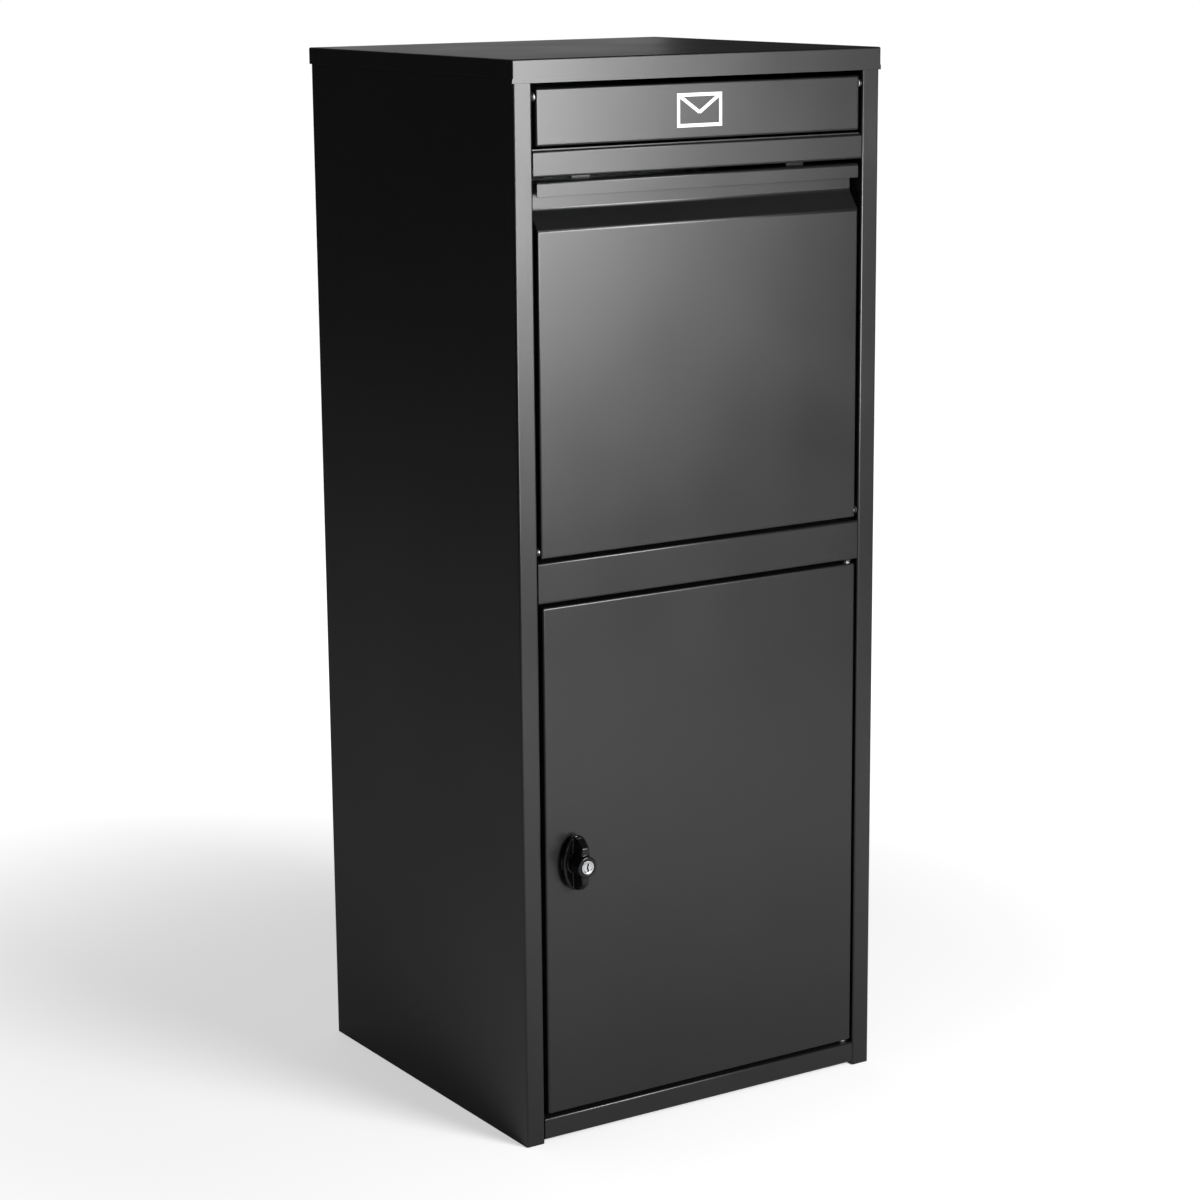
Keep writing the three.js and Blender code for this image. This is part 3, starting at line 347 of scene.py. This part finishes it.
cap_low, cap_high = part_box("top_cap")
SIDE_SKIRT = 0.016
TIGHT_FOLD = 0.0016
RIVET_HOLE = 0.0017
cap_corners = (
    Vector((cap_low.x, cap_low.y, cap_high.z)),
    Vector((cap_high.x, cap_low.y, cap_high.z)),
    Vector((cap_low.x, cap_high.y, cap_high.z)),
)
cap = fold_tray("cap", cap_corners, (0, 0, -SIDE_SKIRT))
skirt_foot = cap_high.z - SIDE_SKIRT
pick_edges(cap, lambda co: co.y < cap_low.y + NEAR and co.z < skirt_foot + NEAR)
pull_edges((0, 0, cap_low.z - skirt_foot))
close_tray(cap, TIGHT_FOLD)
for side in ("left", "right"):
    middle = middle_of(f"cap_rivet_{side}")
    drill(cap, RIVET_HOLE, (middle.x, cap_high.y, middle.z), "y")
finish_edges(cap)
stand_in(cap, "top_cap", "cabinet", powder_coat)


# ---------------------------------------------------------------- rails
# Three channels of the same sheet, welded to the stiles, cross the front between and under the
# openings. The lower two carry the door's bushes.


def rail(name, node, bush=None):
    low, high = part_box(node)
    section = [(high.y, low.z), (low.y, low.z), (low.y, high.z), (high.y, high.z)]
    channel = fold_strip(name, section, "x", low.x, high.x)
    round_folds(channel)
    thicken(channel, 1)
    if bush:
        bush_low, bush_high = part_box(bush)
        neck = (bush_high.x - bush_low.x) / 2 - BUSH_COLLAR
        drill(channel, neck, middle_of(bush), "z")
    finish_edges(channel)
    stand_in(channel, node, "cabinet", powder_coat)


rail("upper_crossbar", "letter_rail")
rail("middle_crossbar", "middle_rail", "door_bush_top")
rail("lower_crossbar", "bottom_rail", "door_bush_bottom")


# ---------------------------------------------------------------- letter flap
# A shallow tray of the same sheet, hung on two pins near its top edge. A deeper hem along its
# lower edge stiffens it and weighs it shut.

flap_low, flap_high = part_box("letter_flap")
FLAP_FLANGE = 0.009
FLAP_HEM = 0.024
FLAP_PIN_HOLE = 0.0016


def front_corners(low, high):
    """Three corners of a face that looks forward."""
    return Vector(low), Vector((high.x, low.y, low.z)), Vector((low.x, low.y, high.z))


flap = fold_tray("flap", front_corners(flap_low, flap_high), (0, FLAP_FLANGE, 0))
hem_start = flap_low.y + FLAP_FLANGE
pick_edges(flap, lambda co: co.y > hem_start - NEAR and co.z < flap_low.z + NEAR)
pull_edges((0, flap_high.y - hem_start, 0))
pull_edges((0, 0, FLAP_HEM))
close_tray(flap)
for side, edge in (("left", flap_low.x), ("right", flap_high.x)):
    middle = middle_of(f"flap_pin_{side}")
    drill(flap, FLAP_PIN_HOLE, (edge, middle.y, middle.z), "x")
finish_edges(flap)
stand_in(flap, "letter_flap", "letter_flap", powder_coat)


# ---------------------------------------------------------------- envelope mark
# A plain envelope outline, screen-printed in white on the flap's front, shows where letters go.
# The ink is a thin film on top of the powder coat.

MARK_WIDTH = 0.05
MARK_HEIGHT = 0.031
MARK_STROKE = 0.0032
MARK_ASIDE = -0.0037
MARK_RISE = 0.0005
MARK_DIP = 0.16  # how far the point of the envelope's flap hangs below the middle, in half heights
INK = 0.00006


def printed_bar(start, end):
    """One straight stroke of ink between two points on the flap."""
    middle = (start + end) / 2
    slope = math.atan2(end.z - start.z, end.x - start.x)
    bpy.ops.mesh.primitive_cube_add(
        size=1, location=(middle.x, middle.y - INK / 2, middle.z), rotation=(0, -slope, 0)
    )
    bar = bpy.context.object
    bar.scale = ((end - start).length, INK, MARK_STROKE)
    bpy.ops.object.transform_apply(location=True, rotation=True, scale=True)
    return bar


bpy.ops.object.select_all(action="DESELECT")
mark_middle = Vector((MARK_ASIDE, flap_low.y, (flap_low.z + flap_high.z) / 2 + MARK_RISE))
across = Vector((MARK_WIDTH / 2 - MARK_STROKE / 2, 0, 0))
upward = Vector((0, 0, MARK_HEIGHT / 2 - MARK_STROKE / 2))
tail = Vector((MARK_STROKE / 2, 0, 0))
strokes = [
    (mark_middle - across - tail + upward, mark_middle + across + tail + upward),
    (mark_middle - across - tail - upward, mark_middle + across + tail - upward),
    (mark_middle - across - upward, mark_middle - across + upward),
    (mark_middle + across - upward, mark_middle + across + upward),
    (mark_middle - across + upward, mark_middle - upward * MARK_DIP),
    (mark_middle + across + upward, mark_middle - upward * MARK_DIP),
]
bars = [printed_bar(start, end) for start, end in strokes]
envelope = bars[0]
envelope.name = envelope.data.name = "envelope_mark"
bpy.context.view_layer.objects.active = envelope
for bar in bars[1:]:
    apply_modifier(envelope, "BOOLEAN", object=bar, operation="UNION", solver="EXACT")
    bpy.data.objects.remove(bar)
white_ink = coated("white_ink", (0.95, 0.95, 0.94), 0.45, 2600, 0.00001)
paint(envelope, white_ink)
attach(envelope, "letter_flap")


# ---------------------------------------------------------------- hopper front
# One powder-coated sheet makes the parcel flap: a flange at the bottom for the hopper's floor, the
# front, a slope into the finger channel, the channel's back, and a lip to pull on. Its sides are
# flanged too, and it turns on a pin at each lower corner.

hopper_low, hopper_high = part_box("hopper_front")
GRIP_DEPTH = 0.013
GRIP_SLOPE = math.radians(54)
GRIP_RISE = GRIP_DEPTH * math.tan(GRIP_SLOPE)
LIP = 0.0137
GRIP_OPENING = 0.0305
SIDE_FLANGE = 0.014
PIN_HOLE = 0.0026
panel_top = hopper_high.z - LIP - GRIP_OPENING
grip_back = hopper_low.y + GRIP_DEPTH
hopper_section = [
    (hopper_high.y, hopper_low.z),
    (hopper_low.y, hopper_low.z),
    (hopper_low.y, panel_top),
    (grip_back, panel_top + GRIP_RISE),
    (grip_back, hopper_high.z - SHEET),
    (hopper_low.y + SHEET, hopper_high.z - SHEET),
    (hopper_low.y + SHEET, hopper_high.z - LIP),
]
parcel_flap = fold_strip("parcel_flap", hopper_section, "x", hopper_low.x, hopper_high.x)
for edge in (hopper_low.x, hopper_high.x):
    pick_edges(
        parcel_flap,
        lambda co: abs(co.x - edge) < NEAR
        and co.y < hopper_low.y + NEAR
        and co.z < panel_top + NEAR,
    )
    pull_edges((0, SIDE_FLANGE, 0))
    bpy.ops.object.mode_set(mode="OBJECT")
round_folds(parcel_flap, TIGHT_FOLD)
thicken(parcel_flap, 1)
for side, edge in (("left", hopper_low.x), ("right", hopper_high.x)):
    middle = middle_of(f"hopper_pin_{side}")
    drill(parcel_flap, PIN_HOLE, (edge, middle.y, middle.z), "x")
finish_edges(parcel_flap)
stand_in(parcel_flap, "hopper_front", "hopper", powder_coat)


# ---------------------------------------------------------------- door
# A tray of the same sheet, powder-coated, which turns on a pin at each end of its right edge.
# The lock sits in a round hole near its left edge.

door_low, door_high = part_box("door_panel")
LOCK_HOLE = 0.0096
lock_center = middle_of("lock_knob")
door = fold_tray("door_leaf", front_corners(door_low, door_high), (0, door_high.y - door_low.y, 0))
close_tray(door)
drill(door, LOCK_HOLE, (lock_center.x, door_low.y, lock_center.z), "y")
for end, edge in (("top", door_high.z), ("bottom", door_low.z)):
    middle = middle_of(f"door_pin_{end}")
    drill(door, PIN_HOLE, (middle.x, middle.y, edge), "z")
finish_edges(door)
stand_in(door, "door_panel", "door", powder_coat)


# ---------------------------------------------------------------- lock gasket
# A thin ring stamped from black rubber. The round head of the lock's zinc housing clamps it on the
# door, so that no rain gets in through the lock's hole.

GASKET_BORE = 0.0095
GASKET_EDGE = 0.0003
LATHE_SIDES = 96


def turned_bar(name, radius, front, back, middle, sides=LATHE_SIDES):
    """A round bar along Y between two depths, as it comes off a lathe."""
    bpy.ops.object.select_all(action="DESELECT")
    bpy.ops.mesh.primitive_cylinder_add(
        vertices=sides,
        radius=radius,
        depth=back - front,
        location=(middle.x, (front + back) / 2, middle.z),
        rotation=(math.pi / 2, 0, 0),
    )
    bar = bpy.context.object
    bar.name = bar.data.name = name
    bpy.ops.object.transform_apply(location=True, rotation=True, scale=True)
    return bar


gasket_low, gasket_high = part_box("lock_gasket")
gasket_radius = (gasket_high.x - gasket_low.x) / 2
gasket_middle = middle_of("lock_gasket")
gasket = turned_bar("rosette_gasket", gasket_radius, gasket_low.y, gasket_high.y, gasket_middle)
drill(gasket, GASKET_BORE, gasket_middle, "y")
finish_edges(gasket, GASKET_EDGE)
rubber = coated("rubber", (0.012, 0.012, 0.012), 0.8, 900, 0.00003)
stand_in(gasket, "lock_gasket", "door", rubber)


# ---------------------------------------------------------------- knob
# Moulded in glossy black plastic: an oval foot, an upright grip across it that tapers to its ends,
# and a round hub that holds the key plug. It is pressed on the lock's spindle.

knob_low, knob_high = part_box("lock_knob")
plug_low, plug_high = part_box("lock_plug")
plug_radius = (plug_high.x - plug_low.x) / 2
KNOB_FOOT = 0.004
FOOT_EDGE = 0.0014
GRIP_WIDTH = 0.0105
GRIP_TIP_WIDTH = 0.0075
GRIP_FRONT_HEIGHT = 0.035
GRIP_SETBACK = 0.0035
GRIP_MARGIN = 0.002  # the foot shows this much above and below the grip
GRIP_EDGE = 0.0012
HUB_RADIUS = 0.0103
HUB_EDGE = 0.001
FOOT_SINK = 0.002  # the grip and the hub start this far inside the foot
PLUG_GAP = 0.0003
PLUG_BIT = 0.036  # drills half of its length deep
SPINDLE_RADIUS = 0.0071
SPINDLE_BIT = 0.004
MOULD_STEPS = 3
VOXEL = 0.00042  # the moulding's parts melt into each other at this scale


def squeeze(piece, wanted, factors):
    """Scales the edges picked by place about the lock's middle."""
    pick_edges(piece, wanted)
    bpy.ops.transform.resize(value=factors, center_override=lock_center)
    bpy.ops.object.mode_set(mode="OBJECT")


foot_width, foot_height = knob_high.x - knob_low.x, knob_high.z - knob_low.z
sunk = knob_high.y - FOOT_SINK
knob = turned_bar("turn_knob", foot_width / 2, knob_high.y - KNOB_FOOT, knob_high.y, lock_center)
squeeze(knob, lambda co: True, (1, 1, foot_height / foot_width))
apply_modifier(knob, "BEVEL", width=FOOT_EDGE, segments=MOULD_STEPS, limit_method="ANGLE")

grip_front = knob_low.y + GRIP_SETBACK
grip_height = foot_height - 2 * GRIP_MARGIN
grip_end = grip_height / 2 - NEAR
grip_middle = Vector((lock_center.x, (grip_front + sunk) / 2, lock_center.z))
bpy.ops.mesh.primitive_cube_add(size=1, location=grip_middle)
grip = bpy.context.object
grip.scale = (GRIP_WIDTH, sunk - grip_front, grip_height)
bpy.ops.object.transform_apply(location=True, rotation=True, scale=True)
bpy.ops.object.mode_set(mode="EDIT")
bpy.ops.mesh.select_all(action="SELECT")
bpy.ops.mesh.subdivide(number_cuts=1)
bpy.ops.object.mode_set(mode="OBJECT")
squeeze(grip, lambda co: abs(co.z - lock_center.z) > grip_end, (GRIP_TIP_WIDTH / GRIP_WIDTH, 1, 1))
squeeze(grip, lambda co: co.y < grip_front + NEAR, (1, 1, GRIP_FRONT_HEIGHT / grip_height))
apply_modifier(grip, "BEVEL", width=GRIP_EDGE, segments=MOULD_STEPS, limit_method="ANGLE")

hub = turned_bar("hub", HUB_RADIUS, knob_low.y, sunk, lock_center)
apply_modifier(hub, "BEVEL", width=HUB_EDGE, segments=MOULD_STEPS, limit_method="ANGLE")

bpy.context.view_layer.objects.active = knob
for solid in (grip, hub):
    apply_modifier(knob, "BOOLEAN", object=solid, operation="UNION", solver="EXACT")
    bpy.data.objects.remove(solid)
drill(knob, plug_radius + PLUG_GAP, (lock_center.x, knob_low.y, lock_center.z), "y", PLUG_BIT)
drill(knob, SPINDLE_RADIUS, (lock_center.x, knob_high.y, lock_center.z), "y", SPINDLE_BIT)
apply_modifier(knob, "REMESH", mode="VOXEL", voxel_size=VOXEL, use_smooth_shade=True)
apply_modifier(knob, "SMOOTH", factor=0.5, iterations=5)
gloss_black = coated("gloss_black", (0.004, 0.004, 0.0045), 0.13, 300, 0.000006)
gloss_black.node_tree.nodes["Principled BSDF"].inputs["Specular IOR Level"].default_value = 0.3
stand_in(knob, "lock_knob", "lock_knob", gloss_black)


# ---------------------------------------------------------------- key plug
# A cylinder turned from brass and chromed, with a broken edge and a shallow dished face. The waved
# keyway is broached into it, and it turns in the knob's hub.

DISH_RIM = 0.0014
DISH_SLOPE = 0.0005
DISH_DEPTH = 0.0004
PLUG_EDGE = 0.0003
KEYWAY_WIDTH = 0.0017
KEYWAY_LENGTH = 0.016
KEYWAY_STEP = 0.0028
KEYWAY_STEPS = ((0.0026, 0.00035), (0.0, -0.00035), (-0.0026, 0.00035))
FACING = 0.9  # a face whose normal has more than this share of a direction looks that way
METAL_TONES = (0.8, 1.1)
METAL_GLOSS = (0.8, 1.25)


def pick_faces(piece, wanted):
    """Goes into edit mode with only the faces selected whose normal passes."""
    bpy.ops.object.mode_set(mode="EDIT")
    bpy.ops.mesh.select_mode(type="FACE")
    bpy.ops.mesh.select_all(action="DESELECT")
    bpy.ops.object.mode_set(mode="OBJECT")
    for face in piece.data.polygons:
        face.select = wanted(face.normal)
    bpy.ops.object.mode_set(mode="EDIT")


plug_middle = middle_of("lock_plug")
plug = turned_bar("key_plug", plug_radius, plug_low.y, plug_high.y, plug_middle)
pick_faces(plug, lambda normal: normal.y < -FACING)
bpy.ops.mesh.inset(thickness=DISH_RIM)
bpy.ops.mesh.inset(thickness=DISH_SLOPE, depth=-DISH_DEPTH)
bpy.ops.object.mode_set(mode="OBJECT")
for rise, shift in KEYWAY_STEPS:
    bpy.ops.mesh.primitive_cube_add(
        size=1, location=(plug_middle.x + shift, plug_low.y, plug_middle.z + rise)
    )
    cutter = bpy.context.object
    cutter.scale = (KEYWAY_WIDTH, KEYWAY_LENGTH, KEYWAY_STEP)
    bpy.ops.object.transform_apply(location=True, rotation=True, scale=True)
    bpy.context.view_layer.objects.active = plug
    apply_modifier(plug, "BOOLEAN", object=cutter, operation="DIFFERENCE", solver="EXACT")
    bpy.data.objects.remove(cutter)
finish_edges(plug, PLUG_EDGE, angle=60)


def bare_metal(name, color, roughness, scale, relief, spangle=False):
    """Plated or galvanised metal. Spangle gives each crystal of the zinc its own tone."""
    material = bpy.data.materials.new(name)
    material.use_nodes = True
    tree = material.node_tree
    shader = tree.nodes["Principled BSDF"]
    shader.inputs["Metallic"].default_value = 1
    place = tree.nodes.new("ShaderNodeTexCoord")
    texture = tree.nodes.new("ShaderNodeTexVoronoi" if spangle else "ShaderNodeTexNoise")
    texture.inputs["Scale"].default_value = scale
    tree.links.new(place.outputs["Object"], texture.inputs["Vector"])
    tone = tree.nodes.new("ShaderNodeMapRange")
    tone.inputs["To Min"].default_value = METAL_TONES[0]
    tone.inputs["To Max"].default_value = METAL_TONES[1]
    value = texture.outputs["Color"] if spangle else texture.outputs["Fac"]
    tree.links.new(value, tone.inputs["Value"])
    tint = tree.nodes.new("ShaderNodeMix")
    tint.data_type = "RGBA"
    tint.blend_type = "MULTIPLY"
    tint.inputs["Factor"].default_value = 1
    tint.inputs["A"].default_value = (*color, 1)
    tree.links.new(tone.outputs["Result"], tint.inputs["B"])
    tree.links.new(tint.outputs["Result"], shader.inputs["Base Color"])
    rough = tree.nodes.new("ShaderNodeMapRange")
    rough.inputs["To Min"].default_value = roughness * METAL_GLOSS[0]
    rough.inputs["To Max"].default_value = roughness * METAL_GLOSS[1]
    tree.links.new(value, rough.inputs["Value"])
    tree.links.new(rough.outputs["Result"], shader.inputs["Roughness"])
    bump = tree.nodes.new("ShaderNodeBump")
    bump.inputs["Distance"].default_value = relief
    tree.links.new(value, bump.inputs["Height"])
    tree.links.new(bump.outputs["Normal"], shader.inputs["Normal"])
    return material


chrome = bare_metal("plug_chrome", (0.6, 0.61, 0.62), 0.22, 500, 0.000004)
stand_in(plug, "lock_plug", "lock_plug", chrome)


# ---------------------------------------------------------------- rivets
# Blind rivets hold the back panel to the walls' flanges and the cap to the back panel.
# Each has a low domed head, set by the pull of its stem, which leaves a small hollow.

RIVET_SIDES = 32
RIVET_HEAD = 0.0008
RIVET_SHANK = 0.0016
RIVET_EDGE = 0.0002
RIVET_RINGS = ((0.0012, -0.0001), (0.0008, 0.00005), (0.0002, -0.0004))  # the dome and its hollow


def blind_rivet(node):
    """A rivet of a node's size, with the top of its head at the origin."""
    low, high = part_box(node)
    radius = (high.x - low.x) / 2
    rivet = turned_bar("rivet", radius, -RIVET_HEAD, 0, Vector(), RIVET_SIDES)
    pick_faces(rivet, lambda normal: normal.y > FACING)
    for width, rise in RIVET_RINGS:
        bpy.ops.mesh.inset(thickness=width, depth=rise)
    bpy.ops.object.mode_set(mode="OBJECT")
    pick_faces(rivet, lambda normal: normal.y < -FACING)
    bpy.ops.mesh.inset(thickness=radius - RIVET_SHANK)
    shank = low.y - high.y + RIVET_HEAD
    bpy.ops.mesh.extrude_region_move(TRANSFORM_OT_translate={"value": (0, shank, 0)})
    bpy.ops.object.mode_set(mode="OBJECT")
    finish_edges(rivet, RIVET_EDGE, angle=30)
    return rivet


def set_rivet(model, name, node, material):
    """Sets a copy of a rivet in a node's place."""
    middle = middle_of(node)
    place = Vector((middle.x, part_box(node)[1].y, middle.z))
    rivet = copy_of(model, name, Matrix.Translation(place))
    stand_in(rivet, node, "cabinet", material)


bright_zinc = bare_metal("bright_zinc", (0.4, 0.41, 0.42), 0.42, 700, 0.00001)
panel_rivet = blind_rivet("back_rivet_left_1")
lid_rivet = blind_rivet("cap_rivet_left")
for side in ("left", "right"):
    for number in range(1, 5):
        name, node = f"panel_rivet_{side}_{number}", f"back_rivet_{side}_{number}"
        set_rivet(panel_rivet, name, node, bright_zinc)
    set_rivet(lid_rivet, f"lid_rivet_{side}", f"cap_rivet_{side}", powder_coat)
for model in (panel_rivet, lid_rivet):
    bpy.data.objects.remove(model)


# ---------------------------------------------------------------- pieces kept from the frame
# The flat sheets inside, the back, the base and the small turned pieces keep the frame's shape.
# The sheets are powder-coated or galvanised, and each piece takes the finish of its own slot.

galvanised = bare_metal("galvanised", (0.42, 0.43, 0.44), 0.42, 120, 0.00001, spangle=True)
nylon = coated("nylon", (0.015, 0.015, 0.015), 0.5, 1200, 0.00001)
finishes = {
    "powder_coat": powder_coat,
    "galvanised": galvanised,
    "bright_zinc": bright_zinc,
    "nylon": nylon,
    "rubber": rubber,
}
slots = {row["node"]: row["material_slot"] for row in frame["record"]["subparts"]}
for name, node in nodes.items():
    if not node.hide_render:
        paint(node, finishes[slots[name]])


# ---------------------------------------------------------------- studio
# A white floor that runs into a white background, a soft light to the front right whose centre is
# brightest, and weaker ones over the box, on the floor and behind.

FLOOR_SIZE = 60
FLOOR_GAP = 0.0005  # keeps the floor off the box's lower edges
CLEAR_FLOOR = 0.45  # around the box, the floor shows its shadow this far out
LOST_FLOOR = 1.5  # from here on, the floor can't be told from the background
SHADED_GLOW = 0.5
AMBIENT = 0.035

bpy.ops.object.select_all(action="DESELECT")
bpy.ops.mesh.primitive_plane_add(size=FLOOR_SIZE, location=(0, 0, cad_low.z - FLOOR_GAP))
floor = bpy.context.object
floor.name = "floor"
pale = bpy.data.materials.new("pale_floor")
pale.use_nodes = True
pale_shader = pale.node_tree.nodes["Principled BSDF"]
pale_shader.inputs["Base Color"].default_value = (0.8, 0.8, 0.8, 1)
pale_shader.inputs["Roughness"].default_value = 0.9
pale_shader.inputs["Specular IOR Level"].default_value = 0.1
pale_shader.inputs["Emission Color"].default_value = (1, 1, 1, 1)
spot = pale.node_tree.nodes.new("ShaderNodeTexCoord")
reach = pale.node_tree.nodes.new("ShaderNodeVectorMath")
reach.operation = "LENGTH"
whiten = pale.node_tree.nodes.new("ShaderNodeMapRange")
whiten.interpolation_type = "SMOOTHSTEP"
whiten.inputs["From Min"].default_value = CLEAR_FLOOR
whiten.inputs["From Max"].default_value = LOST_FLOOR
whiten.inputs["To Min"].default_value = SHADED_GLOW
whiten.inputs["To Max"].default_value = 1
glance = pale.node_tree.nodes.new("ShaderNodeLightPath")
glow = pale.node_tree.nodes.new("ShaderNodeMath")
glow.operation = "MULTIPLY"
pale.node_tree.links.new(spot.outputs["Object"], reach.inputs[0])
pale.node_tree.links.new(reach.outputs["Value"], whiten.inputs["Value"])
pale.node_tree.links.new(whiten.outputs["Result"], glow.inputs[0])
pale.node_tree.links.new(glance.outputs["Is Camera Ray"], glow.inputs[1])
pale.node_tree.links.new(glow.outputs[0], pale_shader.inputs["Emission Strength"])
paint(floor, pale)


def soft_light(name, location, target, width, height, brightness):
    """A rectangular soft light, of an even brightness on its face."""
    bpy.ops.object.light_add(type="AREA", location=location)
    lamp = bpy.context.object
    lamp.name = name
    lamp.data.shape = "RECTANGLE"
    lamp.data.size = width
    lamp.data.size_y = height
    lamp.data.energy = brightness * math.pi * width * height
    toward = Vector(target) - Vector(location)
    lamp.rotation_euler = toward.to_track_quat("-Z", "Y").to_euler()


soft_light("key_core", (0.6, -2.2, 1.05), (0.0, -0.19, 1.05), 0.6, 0.65, 13)
soft_light("key_middle", (0.62, -2.2, 0.98), (0.0, -0.19, 0.98), 0.84, 0.95, 12)
soft_light("key_edge", (0.63, -2.2, 0.95), (0.0, -0.19, 0.95), 1.0, 1.1, 5)
soft_light("overhead", (-0.6, 1.0, 3.5), (-0.4, 0.6, 0), 3.0, 3.0, 0.8)
soft_light("floor_fill", (1.3, -2.8, 2.2), (0.4, -0.7, 0), 1.2, 1.2, 3)
soft_light("back_glow", (0.75, 2.6, 1.2), (0.0, 0, 1.1), 1.9, 0.9, 0.42)

world = bpy.data.worlds.new("studio")
bpy.context.scene.world = world
world.use_nodes = True
tree = world.node_tree
surround = tree.nodes["Background"]
surround.inputs["Color"].default_value = (1, 1, 1, 1)
surround.inputs["Strength"].default_value = AMBIENT
backdrop = tree.nodes.new("ShaderNodeBackground")
backdrop.inputs["Color"].default_value = (1, 1, 1, 1)
backdrop.inputs["Strength"].default_value = 1
seen = tree.nodes.new("ShaderNodeLightPath")
mix = tree.nodes.new("ShaderNodeMixShader")
tree.links.new(seen.outputs["Is Camera Ray"], mix.inputs["Fac"])
tree.links.new(surround.outputs["Background"], mix.inputs[1])
tree.links.new(backdrop.outputs["Background"], mix.inputs[2])
tree.links.new(mix.outputs["Shader"], tree.nodes["World Output"].inputs["Surface"])
bpy.context.scene.view_settings.view_transform = "Standard"
